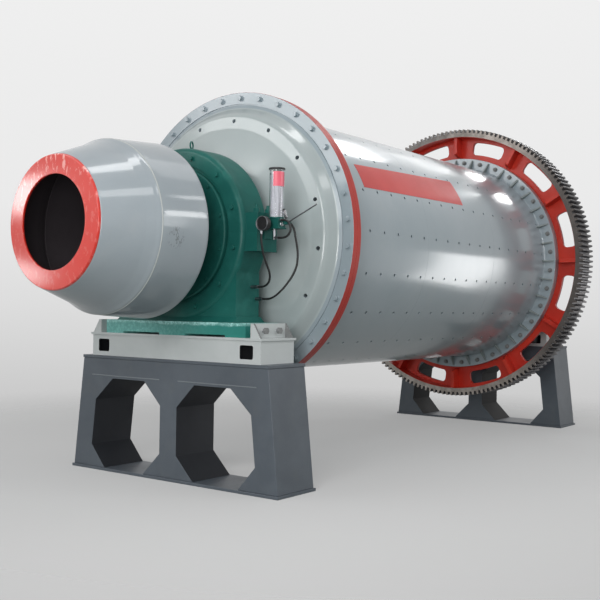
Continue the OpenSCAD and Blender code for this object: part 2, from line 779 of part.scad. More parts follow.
// The lever swings about a pin along X on the outer side of the pump
module pump_lever() color(steel) feed_seat() translate([pivot_x, pivot_y, pivot_z]) difference() {
  union() {
    rotate([0, 90, 0]) cylinder(d = hub_d, h = hub_w, center = true, $fn = small_fn);
    rotate([90 - lever_angle, 0, 0]) cylinder(d = lever_d, h = hub_d / 2 + lever_len, $fn = small_fn);
  }
  rotate([0, 90, 0]) cylinder(d = pin_d + 2 * pin_fit, h = hub_w + past, center = true, $fn = small_fn);
}

// Ports on the housing and fittings on the pump, where the hoses begin and end
module port(p, dir, d, h) translate([p.x, p.y, axis_h + p.z]) rotate(dir)
  cylinder(d = d, h = h, $fn = small_fn);
function last(path) = path[len(path) - 1];
module hose_ports() color(steel) feed_seat() {
  front = hose_front_path[0];
  back = hose_back_path[0];
  loop = hose_return_path[0];
  loop_end = last(hose_return_path);
  elbow = [loop_end.x, loop_end.y + loop_drop, loop_end.z - fitting_d / 2];
  for (p = [last(hose_front_path), last(hose_back_path)])
    port(p, [-90, 0, 0], port_d, -p.y - housing_w / 2);
  port(front, [0, 0, 0], fitting_d, shelf_rise + gauge_rise - gauge_r - front.z);
  port(back, [0, -90, 0], fitting_d, back.x - body_w / 2);
  port(loop, [-90, 0, 0], fitting_d, body_face_y - loop.y);
  port(loop_end, [-90, 0, 0], fitting_d, loop_drop);
  port(elbow, [0, 0, 0], fitting_d, shelf_rise - bracket_t - elbow.z);
}

module hung_hose(path) color(rubber_black) feed_seat() translate([0, 0, axis_h]) hose(path);
module grease_hose_front() hung_hose(hose_front_path);
module grease_hose_back() hung_hose(hose_back_path);
module grease_hose_return() hung_hose(hose_return_path);

shell_barrel();
feed_shell_flange();
discharge_shell_flange();
feed_cover();
discharge_cover();
feed_trunnion();
discharge_trunnion();
feeder_mouth_ring();
feeder_cone();
feeder_barrel();
feeder_back();
gear_rim();
gear_web();
gear_ribs();
discharge_spout();
feed_stand_base();
feed_stand_frame();
feed_stand_top();
feed_bed();
feed_bed_stops();
feed_bearing_housing();
feed_bearing_cap();
feed_bearing_seals();
feed_lifting_eye();
discharge_stand_base();
discharge_stand_frame();
discharge_stand_top();
discharge_bed();
discharge_bed_stops();
discharge_bearing_housing();
discharge_bearing_cap();
discharge_bearing_seals();
discharge_lifting_eye();
pump_bracket();
pump_body();
pump_reservoir();
pump_reservoir_cap();
pump_gauge();
pump_lever();
hose_ports();
grease_hose_front();
grease_hose_back();
grease_hose_return();
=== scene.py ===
import math
import bmesh
import bpy
from mathutils import Matrix, Vector


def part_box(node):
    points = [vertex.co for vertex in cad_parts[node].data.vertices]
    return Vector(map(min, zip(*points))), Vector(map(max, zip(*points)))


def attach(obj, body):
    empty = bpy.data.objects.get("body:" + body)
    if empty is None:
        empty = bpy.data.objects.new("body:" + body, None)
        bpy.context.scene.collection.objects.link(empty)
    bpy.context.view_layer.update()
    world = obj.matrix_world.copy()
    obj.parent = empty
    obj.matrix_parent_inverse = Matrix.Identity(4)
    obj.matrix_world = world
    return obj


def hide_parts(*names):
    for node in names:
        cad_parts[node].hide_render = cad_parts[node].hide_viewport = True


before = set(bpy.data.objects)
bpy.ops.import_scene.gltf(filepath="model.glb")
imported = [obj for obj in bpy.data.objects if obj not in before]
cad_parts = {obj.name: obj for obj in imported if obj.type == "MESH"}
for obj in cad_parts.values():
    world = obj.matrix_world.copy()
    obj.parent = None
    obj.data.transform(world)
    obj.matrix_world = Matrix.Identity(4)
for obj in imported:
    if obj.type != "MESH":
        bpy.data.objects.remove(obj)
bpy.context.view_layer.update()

# Ball mill with a drum feeder and a girth gear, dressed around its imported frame.
# Lengths are in metres. Mill coordinates start on the axis, at the feed flange's front face.
scene = bpy.context.scene
scene.view_settings.view_transform = "Standard"

mill = {
    "flangeThick": 0.056, "drumLen": 4.612, "shellRadius": 1.225, "shellBore": 1.2, "flangeRadius": 1.367,
    "feedReach": 0.552, "dischargeReach": 0.772, "neckEnd": 0.35,
}
shift = Matrix.Translation


def spun(degrees, axis):
    return Matrix.Rotation(math.radians(degrees), 4, axis)


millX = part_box("feed_shell_flange")[0].x - mill["flangeThick"]
axisZ = sum(corner.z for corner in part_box("shell_barrel")) / 2
farX = millX + mill["drumLen"]
mirrorX = Matrix.Scale(-1, 4, (1, 0, 0))
# places of each end of the drum, and of its bearing on the axis and on the floor, with +X going into the mill
feedEnd, dischargeEnd = shift((millX, 0, axisZ)), shift((farX, 0, axisZ)) @ mirrorX
ends = {"feed": feedEnd, "discharge": dischargeEnd}
hubs = {side: end @ shift((-mill[side + "Reach"], 0, 0)) for side, end in ends.items()}
seats = {side: hub @ shift((0, 0, -axisZ)) for side, hub in hubs.items()}
print("frame loaded with", len(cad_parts), "nodes")

# camera, fitted to the photograph's view
view = {"place": (-6.5833, -5.7078, 1.5161), "yaw": 0.6397, "pitch": 0.0075, "roll": 0.0152, "lens": 56.03}


def linked(name, data):
    made = bpy.data.objects.new(name, data)
    scene.collection.objects.link(made)
    return made


def makeCamera():
    yaw, pitch, roll = view["yaw"], view["pitch"], view["roll"]
    ahead = Vector((math.cos(pitch) * math.cos(yaw), math.cos(pitch) * math.sin(yaw), math.sin(pitch)))
    right = ahead.cross((0, 0, 1)).normalized()
    above = right.cross(ahead)
    sideways = right * math.cos(roll) + above * math.sin(roll)
    upright = above * math.cos(roll) - right * math.sin(roll)
    lens = bpy.data.cameras.new("camera")
    lens.lens, lens.clip_end = view["lens"], 500
    scene.camera = linked("camera", lens)
    turn = Matrix((sideways, upright, -ahead)).transposed().to_4x4()
    scene.camera.matrix_world = shift(Vector(view["place"]) + Vector((millX, 0, 0))) @ turn


makeCamera()


# shader maths: a wire is a socket that adds its own Math nodes
class Wire:
    def __init__(self, paint, socket):
        self.paint, self.socket = paint, socket

    def calc(self, operation, first, second):
        return self.paint.node("Math", {"operation": operation}, {0: first, 1: second})

    def __add__(self, other): return self.calc("ADD", self, other)
    def __radd__(self, other): return self.calc("ADD", other, self)
    def __sub__(self, other): return self.calc("SUBTRACT", self, other)
    def __rsub__(self, other): return self.calc("SUBTRACT", other, self)
    def __mul__(self, other): return self.calc("MULTIPLY", self, other)
    def __rmul__(self, other): return self.calc("MULTIPLY", other, self)

    def within(self, low, high, fromLow=0.0, fromHigh=1.0):
        # a soft step from low to high
        return self.paint.node("MapRange", {"interpolation_type": "SMOOTHSTEP"},
                               {0: self, 1: low, 2: high, 3: fromLow, 4: fromHigh})


class Paint:
    # the nodes of a new material, or of the world
    def __init__(self, name, world=None):
        self.owner = world or bpy.data.materials.new(name)
        self.owner.use_nodes = True
        self.tree = self.owner.node_tree
        self.shader = self.tree.nodes["Background" if world else "Principled BSDF"]
        self.place = self.node("TexCoord", {}, {}, "Generated" if world else "Object")

    def feed(self, socket, value):
        if isinstance(value, Wire):
            self.tree.links.new(value.socket, socket)
        elif isinstance(value, (tuple, Vector)) and len(socket.default_value) == 4:
            socket.default_value = (*value, 1)
        else:
            socket.default_value = value

    def node(self, kind, settings, sockets, output=0):
        made = self.tree.nodes.new("ShaderNode" + kind)
        for key, value in settings.items():
            if key == "stops":
                ramp = made.color_ramp.elements
                while len(ramp) < len(value):
                    ramp.new(0.5)
                for stop, (position, colour) in zip(ramp, value):
                    stop.position, stop.color = position, (*colour, 1)
            else:
                setattr(made, key, value)
        for key, value in sockets.items():
            self.feed(made.inputs[key], value)
        return Wire(self, made.outputs[output])

    def noise(self, scale, detail=3.0, roughness=0.55, place=None, twist=0.0):
        return self.node("TexNoise", {}, {"Vector": place or self.place, "Scale": scale, "Detail": detail,
                                          "Roughness": roughness, "Distortion": twist})

    def mix(self, share, first, second):
        return self.node("Mix", {"data_type": "RGBA"}, {0: share, 6: first, 7: second}, 2)

    def mapped(self, scale, turn=(0, 0, 0)):
        return self.node("Mapping", {}, {"Vector": self.place, "Rotation": turn, "Scale": scale})

    def along(self, axis):
        # the place along X, Y or Z, as 0, 1 or 2
        return self.node("SeparateXYZ", {}, {0: self.place}, axis)

    def near(self, point, radius):
        # 1 at a point of the piece, 0 from this radius on
        gap = self.node("VectorMath", {"operation": "DISTANCE"}, {0: self.place, 1: Vector(point)}, 1)
        return gap.within(0.0, radius, 1.0, 0.0)

    def bump(self, height, depth, below=None):
        sockets = {"Height": height, "Distance": depth, "Strength": 1.0}
        if below:
            sockets["Normal"] = below
        return self.node("Bump", {}, sockets)

    def seen(self):
        # 1 on rays from the camera, straight or by way of gloss or glass
        kinds = "Camera", "Glossy", "Transmission"
        rays = [self.node("LightPath", {}, {}, "Is " + kind + " Ray") for kind in kinds]
        return self.node("Math", {"operation": "MINIMUM"}, {0: rays[0] + rays[1] + rays[2], 1: 1.0})

    def set(self, **values):
        for key, value in values.items():
            self.feed(self.shader.inputs[key.replace("_", " ")], value)
        return self.owner


def tint(red, green, blue):
    # a screen colour as the linear colour that shaders take
    return tuple(c / 12.92 if c <= 0.04045 else ((c + 0.055) / 1.055) ** 2.4
                 for c in (red / 255, green / 255, blue / 255))


def enamel(name, look):
    # sprayed gloss paint: slow colour drift, faint dust, orange peel and plates that aren't quite flat
    # dust, wave and peel: amount and scale; rough: value and drift; coat: weight and roughness
    (dustShare, dustScale), (rough, roughDrift) = look["dust"], look["rough"]
    (wave, waveScale), (peel, peelScale) = look["wave"], look["peel"]
    paint = Paint(name)
    drift = paint.noise(look["patch"], 4, 0.6, None, 0.4).within(0.3, 0.7)
    colour = paint.mix(drift, tint(*look["colour"]), tint(*look["drift"]))
    dust = paint.noise(dustScale, 5, 0.65).within(0.5, 0.8) * dustShare
    colour = paint.mix(dust, colour, tint(*look["dustColour"]))
    rough = rough + (paint.noise(look["patch"] * 4, 3) - 0.5) * roughDrift + dust * 0.3
    waves = paint.bump(paint.noise(waveScale, 1, 0.4), wave)
    skin = paint.bump(paint.noise(peelScale, 2, 0.5), peel, waves)
    paint.set(Base_Color=colour, Roughness=rough, Normal=skin, Coat_Weight=look["coat"][0],
              Coat_Roughness=look["coat"][1], Specular_IOR_Level=look["shine"])
    return paint, colour


def plainEnamel(name, look, **changes):
    return enamel(name, dict(look, **changes))[0].owner


drumLook = {
    "colour": (157, 168, 175), "drift": (148, 161, 168), "patch": 0.9, "dust": (0.16, 2.3),
    "dustColour": (176, 178, 176), "rough": (0.34, 0.1), "wave": (0.0035, 1.7),
    "peel": (0.00016, 170.0), "coat": (0.8, 0.13), "shine": 0.25,
}
feederLook = {
    "colour": (159, 167, 173), "drift": (150, 159, 165), "patch": 1.3, "dust": (0.18, 3.1),
    "dustColour": (180, 178, 176), "rough": (0.36, 0.1), "wave": (0.003, 2.2),
    "peel": (0.0002, 150.0), "coat": (0.7, 0.09), "shine": 0.2,
    "smudge": (-1.45, -0.705, -0.10), "smudgeRadius": 0.12, "smudgeColour": (88, 90, 88), "scratchTurn": 0.7,
}
redLook = {
    "colour": (186, 48, 36), "drift": (166, 38, 30), "patch": 2.2, "dust": (0.14, 7.0),
    "dustColour": (204, 84, 70), "rough": (0.42, 0.16), "wave": (0.0015, 6.0),
    "peel": (0.0003, 110.0), "coat": (0.1, 0.14), "shine": 0.25,
}
mouthLook = {
    # brushAndSheen is the pale streak colour, for brush marks and painted highlight
    "colour": (206, 44, 30), "brushAndSheen": (250, 206, 198), "brushTop": 0.1, "brushScale": (6, 30, 15),
    "rough": 0.36, "brushDepth": 0.0008,
}
greenLook = {
    "colour": (34, 102, 94), "drift": (26, 86, 80), "patch": 2.0, "dust": (0.35, 5.5),
    "dustColour": (58, 130, 122), "rough": (0.4, 0.2), "wave": (0.0022, 5.0),
    "peel": (0.0005, 60.0), "coat": (0.06, 0.18), "shine": 0.15,
}
# the foot's green is a lighter copy of the bearing green: painted light
footLitLook = {
    "colour": (56, 138, 128), "drift": (46, 122, 113), "pale": (186, 236, 232), "paleScale": 7.0,
    "paleFrom": (1.345, 1.365), "paleTo": (1.382, 1.442), "paleSide": (160, 226, 220), "paleSideAlong": (-0.6, 0.5),
    "fleckScale": 42.0,
}
standLook = {
    "colour": (88, 95, 103), "drift": (79, 86, 94), "patch": 2.4, "dust": (0.4, 5.0),
    "dustColour": (100, 104, 106), "rough": (0.5, 0.16), "wave": (0.0016, 3.0),
    "peel": (0.0003, 120.0), "coat": (0.15, 0.25), "shine": 0.35,
}
bedLook = {
    "colour": (203, 207, 207), "drift": (193, 198, 198), "patch": 1.9, "dust": (0.2, 5.0),
    "dustColour": (200, 200, 196), "rough": (0.42, 0.14), "wave": (0.0012, 4.0),
    "peel": (0.0003, 130.0), "coat": (0.3, 0.15), "shine": 0.4,
}
rimLook = {
    "colour": (174, 165, 158), "shade": (140, 131, 124), "topShadeColour": (84, 80, 80), "top": (0.9, 1.5),
    "topShadeSide": (-0.4, 0.4), "sideShadeColour": (60, 54, 52), "sideShade": (-1.4, -0.75), "metal": 0.3,
}


def feederPaint():
    # scratched in one place on the barrel
    paint, colour = enamel("feederPaint", feederLook)
    middle = Vector(feederLook["smudge"]) + Vector((millX, 0, axisZ))
    lines = paint.noise(13, 3, 0.7, paint.mapped((1, 1, 0.4), (0, feederLook["scratchTurn"], 0)))
    thin = paint.node("Math", {"operation": "ABSOLUTE"}, {0: lines - 0.5}).within(0.008, 0.03, 1.0, 0.0)
    scratch = (thin * paint.near(middle, feederLook["smudgeRadius"])).within(0.1, 0.4) * 0.55
    return paint.set(Base_Color=paint.mix(scratch, colour, tint(*feederLook["smudgeColour"])))


def mouthPaint():
    # brushed on by hand: pale streaks and a ridge for each bristle mark; the streaks grow denser towards the top
    # as painted highlight
    paint = Paint("mouthPaint")
    marks = paint.noise(1.0, 5, 0.65, paint.mapped(mouthLook["brushScale"]), 0.6)
    # painted highlight: more pale streaks towards the top of the ring
    topSheen = paint.along(2).within(axisZ + 0.2, axisZ + 0.5)
    streaks = marks.within(0.55, 0.61) * (mouthLook["brushTop"] + topSheen * 0.5)
    return paint.set(Base_Color=paint.mix(streaks, tint(*mouthLook["colour"]), tint(*mouthLook["brushAndSheen"])),
                     Roughness=mouthLook["rough"] + marks * 0.2, Coat_Weight=1.0, Coat_Roughness=0.12,
                     Normal=paint.bump(marks, mouthLook["brushDepth"]), Specular_IOR_Level=0.15)


def footLitPaint():
    # the bearing green, made lighter on the foot as painted light, with the paler coat that was brushed unevenly
    # along the foot's top edge, and paler towards +Y
    paint, colour = enamel("footLitPaint", dict(greenLook, colour=footLitLook["colour"], drift=footLitLook["drift"]))
    edge = paint.along(2) + paint.noise(footLitLook["paleScale"], 5, 0.7) * 0.06 - 0.03
    band = edge.within(*footLitLook["paleFrom"]) * edge.within(*footLitLook["paleTo"], 1.0, 0.0)
    flecks = paint.noise(footLitLook["fleckScale"], 4, 0.7).within(0.42, 0.62)
    # paler towards +Y
    paleSide = paint.along(1).within(*footLitLook["paleSideAlong"], 0.0, 0.65)
    colour = paint.mix(paleSide * (0.6 + flecks * 0.4), colour, tint(*footLitLook["paleSide"]))
    return paint.set(Base_Color=paint.mix(band * (0.35 + flecks * 0.6), colour, tint(*footLitLook["pale"])))


def rimPaint():
    # bare rim, with painted shade: darker along the -Y side, where the pump is, and darker at the top towards +Y
    paint = Paint("rimEdgeSteel")
    stains = paint.noise(9, 5, 0.65)
    sideShade = paint.along(1) + stains * 0.6 - 0.3
    # heights of the painted shade at the top of the rim
    high = paint.along(2).within(*(axisZ + height for height in rimLook["top"]))
    tone = paint.mix(stains.within(0.35, 0.65), tint(*rimLook["colour"]), tint(*rimLook["shade"]))
    # painted shade at the top, towards +Y
    tone = paint.mix(high * sideShade.within(*rimLook["topShadeSide"]) * 0.7, tone, tint(*rimLook["topShadeColour"]))
    # painted shade along the -Y side
    tone = paint.mix(sideShade.within(*rimLook["sideShade"], 0.85, 0.0), tone, tint(*rimLook["sideShadeColour"]))
    return paint.set(Base_Color=tone, Metallic=rimLook["metal"], Roughness=0.42 + stains * 0.16,
                     Normal=paint.bump(paint.noise(30, 3), 0.0004))


def steel(name, colour, shade, rough, grain, depth=0.0002, metal=1.0):
    # machined or oily steel, with streaks and stains
    paint = Paint(name)
    stains = paint.noise(grain * 0.3, 5, 0.65)
    tone = paint.mix(stains.within(0.35, 0.65), tint(*colour), tint(*shade))
    return paint.set(Base_Color=tone, Metallic=metal, Roughness=rough + (stains - 0.5) * 0.2,
                     Normal=paint.bump(paint.noise(grain, 3, 0.6), depth))


def matt(name, colour, shade, rough, grain, depth):
    paint = Paint(name)
    cloud = paint.noise(grain * 0.1, 4, 0.6)
    return paint.set(Base_Color=paint.mix(cloud, tint(*colour), tint(*shade)),
                     Roughness=rough + (cloud - 0.5) * 0.12, Normal=paint.bump(paint.noise(grain, 2), depth))


def clearPlastic():
    paint = Paint("clearPlastic")
    haze = paint.noise(60, 3, 0.6, paint.mapped((1, 1, 0.1)))
    return paint.set(Base_Color=(0.93, 0.94, 0.95), Roughness=0.03 + haze * 0.1, IOR=1.46,
                     Transmission_Weight=0.94, Normal=paint.bump(haze, 0.0002))


def greasePaint():
    # white grease, streaked where the follower wiped the wall
    paint = Paint("grease")
    streaks = paint.noise(1.0, 3, 0.6, paint.mapped((70, 70, 2)))
    return paint.set(Base_Color=paint.mix(streaks.within(0.36, 0.6), tint(150, 150, 160), tint(212, 212, 220)),
                     Roughness=0.35, Normal=paint.bump(streaks, 0.0004))


finishes = {
    "drum": plainEnamel("drumPaint", drumLook),
    "feeder": feederPaint(),
    # a lighter copy of the drum paint for the covers' dish: painted light
    "cover": plainEnamel("coverLitPaint", drumLook, colour=(176, 185, 185), drift=(167, 177, 178)),
    "red": plainEnamel("redPaint", redLook),
    "gearRed": plainEnamel("gearRedPaint", redLook, colour=(214, 60, 42), drift=(194, 48, 36)),
    "panel": plainEnamel("panelPaint", redLook, colour=(208, 54, 50), drift=(196, 46, 42), patch=1.1,
                         dust=(0.08, 7.0), rough=(0.36, 0.16), coat=(0.3, 0.14), shine=0.15, wave=(0.003, 1.7)),
    "mouth": mouthPaint(),
    "green": plainEnamel("bearingPaint", greenLook),
    "foot": footLitPaint(),
    "stand": plainEnamel("standPaint", standLook),
    "bed": plainEnamel("bedPaint", bedLook),
    "rimEdge": rimPaint(),
    "tooth": steel("toothSteel", (84, 80, 80), (56, 56, 60), 0.42, 40.0, 0.0004, 0.7),
    "journal": steel("journalSteel", (176, 176, 178), (150, 150, 152), 0.28, 50.0),
    "bright": steel("brightSteel", (208, 208, 210), (182, 182, 186), 0.22, 90.0, 0.0001),
    "dark": steel("darkSteel", (62, 62, 66), (40, 40, 44), 0.45, 70.0, 0.0002, 0.8),
    "lever": steel("leverSteel", (104, 106, 108), (78, 80, 84), 0.35, 90.0, 0.0001, 0.9),
    "port": steel("portSteel", (150, 152, 156), (112, 114, 118), 0.32, 90.0, 0.0001),
    "inside": matt("feederInside", (66, 60, 64), (54, 48, 52), 0.75, 60.0, 0.0006),
    # painted shade for recesses: the faces inside the stand openings and the bed
    "recessShade": matt("recessShadePaint", (24, 28, 35), (17, 20, 26), 0.7, 40.0, 0.0004),
    "deepRecessShade": matt("deepRecessShadePaint", (11, 12, 14), (8, 9, 11), 0.8, 40.0, 0.0004),
    "nut": matt("nutPaint", (132, 134, 134), (106, 106, 106), 0.5, 90.0, 0.0003),
    # a darker matt copy of the drum paint for the gussets: painted shade
    "gusset": matt("gussetShadePaint", (134, 142, 142), (116, 126, 126), 0.5, 60.0, 0.0004),
    "weld": matt("weldPaint", (190, 193, 190), (166, 171, 170), 0.5, 80.0, 0.0008),
    "standWeld": matt("standWeldPaint", (128, 134, 138), (106, 112, 118), 0.55, 80.0, 0.0006),
    "black": matt("blackPlastic", (18, 18, 20), (13, 13, 15), 0.45, 400.0, 0.0001),
    "rubber": matt("hoseRubber", (15, 15, 16), (11, 11, 12), 0.55, 500.0, 0.0002),
    "band": matt("bandRed", (246, 118, 136), (234, 96, 116), 0.3, 200.0, 0.0001),
    "clear": clearPlastic(),
    "grease": greasePaint(),
}
print("finishes made:", len(finishes))


# hoses of the grease pump, measured from the middle of the feed bearing
hoses = {
    "hoseFront": ("grease_hose_front", [
        (-0.138, -0.92, -0.025), (-0.138, -0.92, -0.055), (-0.133, -0.919, -0.09), (-0.116, -0.915, -0.14),
        (-0.083, -0.908, -0.205), (-0.04, -0.903, -0.268), (0.002, -0.898, -0.33), (0.032, -0.878, -0.388),
        (0.049, -0.838, -0.43), (0.052, -0.79, -0.448), (0.052, -0.765, -0.45), (0.052, -0.74, -0.45)]),
    "hoseBack": ("grease_hose_back", [
        (0.078, -1.0, 0.095), (0.097, -1.0, 0.095), (0.134, -1.005, 0.084), (0.16, -1.014, 0.056),
        (0.169, -1.026, 0.018), (0.172, -1.036, -0.03), (0.176, -1.046, -0.09), (0.181, -1.053, -0.15),
        (0.182, -1.053, -0.21), (0.177, -1.045, -0.28), (0.162, -1.02, -0.35), (0.14, -0.98, -0.42),
        (0.122, -0.925, -0.485), (0.112, -0.862, -0.532), (0.112, -0.8, -0.55), (0.112, -0.74, -0.55)]),
    "hoseReturn": ("grease_hose_return", [
        (-0.018, -1.035, 0.094), (-0.018, -1.055, 0.094), (-0.018, -1.091, 0.084), (-0.018, -1.117, 0.058),
        (-0.018, -1.127, 0.022), (-0.018, -1.117, -0.014), (-0.018, -1.091, -0.04), (-0.018, -1.055, -0.05),
        (-0.018, -1.0, -0.05)]),
}
hose = {"diameter": 0.018, "rings": 4, "steps": 6}


def makeHose(name, node, route):
    curve = bpy.data.curves.new(name, "CURVE")
    curve.dimensions = "3D"
    curve.bevel_depth, curve.bevel_resolution = hose["diameter"] / 2, hose["rings"]
    curve.resolution_u = hose["steps"]
    curve.use_fill_caps = True
    line = curve.splines.new("BEZIER")
    line.bezier_points.add(len(route) - 1)
    for point, step in zip(line.bezier_points, route):
        point.co = hubs["feed"] @ Vector(step)
        point.handle_left_type = point.handle_right_type = "AUTO"
    piece = linked(name, curve)
    curve.materials.append(finishes["rubber"])
    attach(piece, "frame")
    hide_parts(node)
    tuple(hubs["feed"] @ Vector(route[0]))


for name, (node, route) in hoses.items():
    makeHose(name, node, route)
print("hoses laid")


# helpers for mesh pieces
def faceOut(bm):
    bmesh.ops.recalc_face_normals(bm, faces=bm.faces[:])


def meshOf(name, bm):
    mesh = bpy.data.meshes.new(name)
    bm.to_mesh(mesh)
    bm.free()
    return mesh


def shadeSmooth(mesh, sharp):
    mesh.shade_smooth()
    mesh.set_sharp_from_angle(angle=math.radians(sharp))


def evenNormals(piece):
    piece.modifiers.new("evenNormals", "WEIGHTED_NORMAL").keep_sharp = True


def finishPiece(name, bm, finish, body, place=None, node=None, others=(), sharp=38, even=True):
    bmesh.ops.remove_doubles(bm, verts=bm.verts[:], dist=0.00003)
    if place is not None:
        bmesh.ops.transform(bm, matrix=place, verts=bm.verts[:])
    faceOut(bm)
    mesh = meshOf(name, bm)
    shadeSmooth(mesh, sharp)
    for key in (finish, *others):
        mesh.materials.append(finishes[key])
    piece = linked(name, mesh)
    if even:
        evenNormals(piece)
    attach(piece, body)
    if node:
        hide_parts(node)
    return piece


def roundEdges(piece, width, segments=2):
    # soft edges, made before the normals are evened
    bevel = piece.modifiers.new("roundEdges", "BEVEL")
    bevel.width, bevel.segments, bevel.limit_method = width, segments, "ANGLE"
    bevel.angle_limit = math.radians(32)
    piece.modifiers.move(1, 0)


def soften(bm, geom, offset, segments, kind="EDGES", clamp=False):
    bmesh.ops.bevel(bm, geom=geom, offset=offset, affect=kind, segments=segments, profile=0.5, material=-1,
                    clamp_overlap=clamp)


def outlined(profile):
    # a flat face through points of (radius, x)
    bm = bmesh.new()
    corners = [bm.verts.new((x, 0, radius)) for radius, x in profile]
    bm.faces.new(corners)
    return bm, corners


def turned(bm, sides, around=math.tau):
    # an outline turned about the mill axis
    outline = bm.faces[:]
    bmesh.ops.spin(bm, geom=bm.edges[:], cent=(0, 0, 0), axis=(1, 0, 0), angle=around, steps=sides,
                   use_merge=around == math.tau)
    bmesh.ops.delete(bm, geom=outline, context="FACES_ONLY")
    if around != math.tau:
        bmesh.ops.holes_fill(bm, edges=[e for e in bm.edges if e.is_boundary], sides=0)
    return bm


def turnedForm(profile, soft=0.004, sides=192, around=math.tau):
    bm, corners = outlined(profile)
    if soft:
        soften(bm, corners, soft, 3, "VERTICES", True)
    return turned(bm, sides, around)


def thicken(bm, faces, step):
    swept = bmesh.ops.extrude_face_region(bm, geom=faces)["geom"]
    bmesh.ops.translate(bm, vec=step, verts=[v for v in swept if isinstance(v, bmesh.types.BMVert)])
    faceOut(bm)


def repeated(bm, count):
    # one sector copied all round the mill axis
    bmesh.ops.spin(bm, geom=bm.verts[:] + bm.edges[:] + bm.faces[:], cent=(0, 0, 0), axis=(1, 0, 0),
                   angle=math.radians(360 / count * (count - 1)), steps=count - 1, use_duplicate=True)


def openSides(bm, half):
    # takes away a sector's end faces, half its angle to each side, where the next one joins on
    for turn in (-half, half):
        side = [f for f in bm.faces
                if all(abs(math.degrees(math.atan2(v.co.y, v.co.z)) - turn) < 0.01 for v in f.verts)]
        bmesh.ops.delete(bm, geom=side, context="FACES_ONLY")


def facing(bm, *tests):
    # faces whose x, radius, outward share and normal pass the first test get the second finish, and so on
    bmesh.ops.remove_doubles(bm, verts=bm.verts[:], dist=0.00003)
    faceOut(bm)
    for face in bm.faces:
        middle = face.calc_center_median()
        radius = math.hypot(middle.y, middle.z)
        outward = (face.normal.y * middle.y + face.normal.z * middle.z) / max(radius, 0.001)
        for index, test in enumerate(tests, 1):
            if test(middle.x, radius, outward, face.normal.x):
                face.material_index = index


def stamped(form, places=(Matrix(),), bm=None):
    # copies one small form to many places
    bm = bm or bmesh.new()
    mesh = meshOf("stamp", form)
    for place in places:
        start = len(bm.verts)
        bm.from_mesh(mesh)
        bmesh.ops.transform(bm, matrix=place, verts=bm.verts[start:])
    bpy.data.meshes.remove(mesh)
    return bm


def bar(bm, sides, radius, tip, length, low=0.0):
    # stands on z = low
    return bmesh.ops.create_cone(bm, cap_ends=True, segments=sides, radius1=radius, radius2=tip, depth=length,
                                 matrix=shift((0, 0, low + length / 2)))["verts"]


def hexBolt(across, height, washer, stud=0.0):
    # a hexagon head or nut on its washer, given as radius and thickness
    bm = bmesh.new()
    low = washer[1]
    bar(bm, 16, washer[0], washer[0] * 0.96, low)
    head = bar(bm, 6, across / 1.732, across / 1.732, height, low)
    top = [v for v in head if v.co.z > low + height * 0.5]
    soften(bm, [e for e in bm.edges if e.verts[0] in top and e.verts[1] in top], height * 0.12, 1)
    if stud:
        bar(bm, 12, across * 0.32, across * 0.28, stud, low + height)
    return bm


def makeBolts(name, bolt, places, finish, body, place):
    return finishPiece(name, stamped(hexBolt(*bolt), places), finish, body, place, None, (), 30, False)


def polar(radius, degrees, x=0.0):
    # degrees go from +Y up to +Z
    turn = math.radians(degrees)
    return x, radius * math.cos(turn), radius * math.sin(turn)


def arcOf(radius, start, end, steps):
    return [polar(radius, start + (end - start) * i / steps) for i in range(steps + 1)]


def spot(x, radius, degrees, tip="out"):
    # a place on the mill: tip is out from the axis, "front" to -X or "back" to +X
    turn = {"out": 0, "front": -90, "back": 90}[tip]
    return spun(degrees - 90, "X") @ shift((x, 0, radius)) @ spun(turn, "Y")


def ringOf(count, x, radius, start, tip):
    return [spot(x, radius, start + 360 * i / count, tip) for i in range(count)]


def allRound(count):
    return [spun(360 * i / count, "X") for i in range(count)]


def dressed(name, node, finish, width=0.003, others=(), pick=None, segments=2, body="frame"):
    # a CAD node's own shape with soft edges, and other finishes on the faces that pick gives them to
    bm = bmesh.new()
    bm.from_mesh(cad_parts[node].data)
    for face in bm.faces:
        face.material_index = 0
    bmesh.ops.remove_doubles(bm, verts=bm.verts[:], dist=0.00005)
    bmesh.ops.dissolve_limit(bm, angle_limit=math.radians(0.5), use_dissolve_boundaries=False,
                             verts=bm.verts[:], edges=bm.edges[:], delimit=set())
    if pick:
        faceOut(bm)
        for face in bm.faces:
            face.material_index = int(pick(face.calc_center_median(), face.normal))
    roundEdges(finishPiece(name, bm, finish, body, None, node, others), width, segments)


def drilled(piece, places, radius, depth, sides):
    # cuts round holes into a piece, each along its place's z axis
    form = bmesh.new()
    bar(form, sides, radius, radius, depth, -depth / 2)
    bm = stamped(form, places)
    faceOut(bm)
    drill = linked("drill", meshOf("drill", bm))
    cut = piece.modifiers.new("holes", "BOOLEAN")
    cut.operation, cut.solver, cut.object = "DIFFERENCE", "EXACT", drill
    shaped = bpy.data.meshes.new_from_object(piece.evaluated_get(bpy.context.evaluated_depsgraph_get()))
    piece.modifiers.clear()
    piece.data = shaped
    bpy.data.meshes.remove(drill.data)
    shadeSmooth(shaped, 35)


# drum: shell with its liner bolt holes, flanges, covers
shell = {
    "sides": 240, "rings": 18, "holeRadius": 0.0145, "holeStart": 0.48, "holePitch": 0.2467, "holeCount": 17,
    "holeDepth": 0.12, "rows": 20, "rowStart": 158.4, "weldX": (1.556, 3.056), "panelX": (0.52, 2.487),
    "panelLow": (157.0, 155.8), "panelHigh": (145.4, 141.2), "panelLift": 0.0004, "panelThick": 0.0016,
}


def roundNormals(mesh):
    # the shell's outside takes its normals from the true cylinder, so that holes leave no dents in the gloss
    normals = []
    for face in mesh.polygons:
        places = [mesh.vertices[i].co for i in face.vertices]
        spokes = [Vector((0, place.y, place.z - axisZ)) for place in places]
        outside = all(abs(spoke.length - mill["shellRadius"]) < 0.003 for spoke in spokes)
        normals += [spoke.normalized() if outside else face.normal for spoke in spokes]
    mesh.normals_split_custom_set(normals)


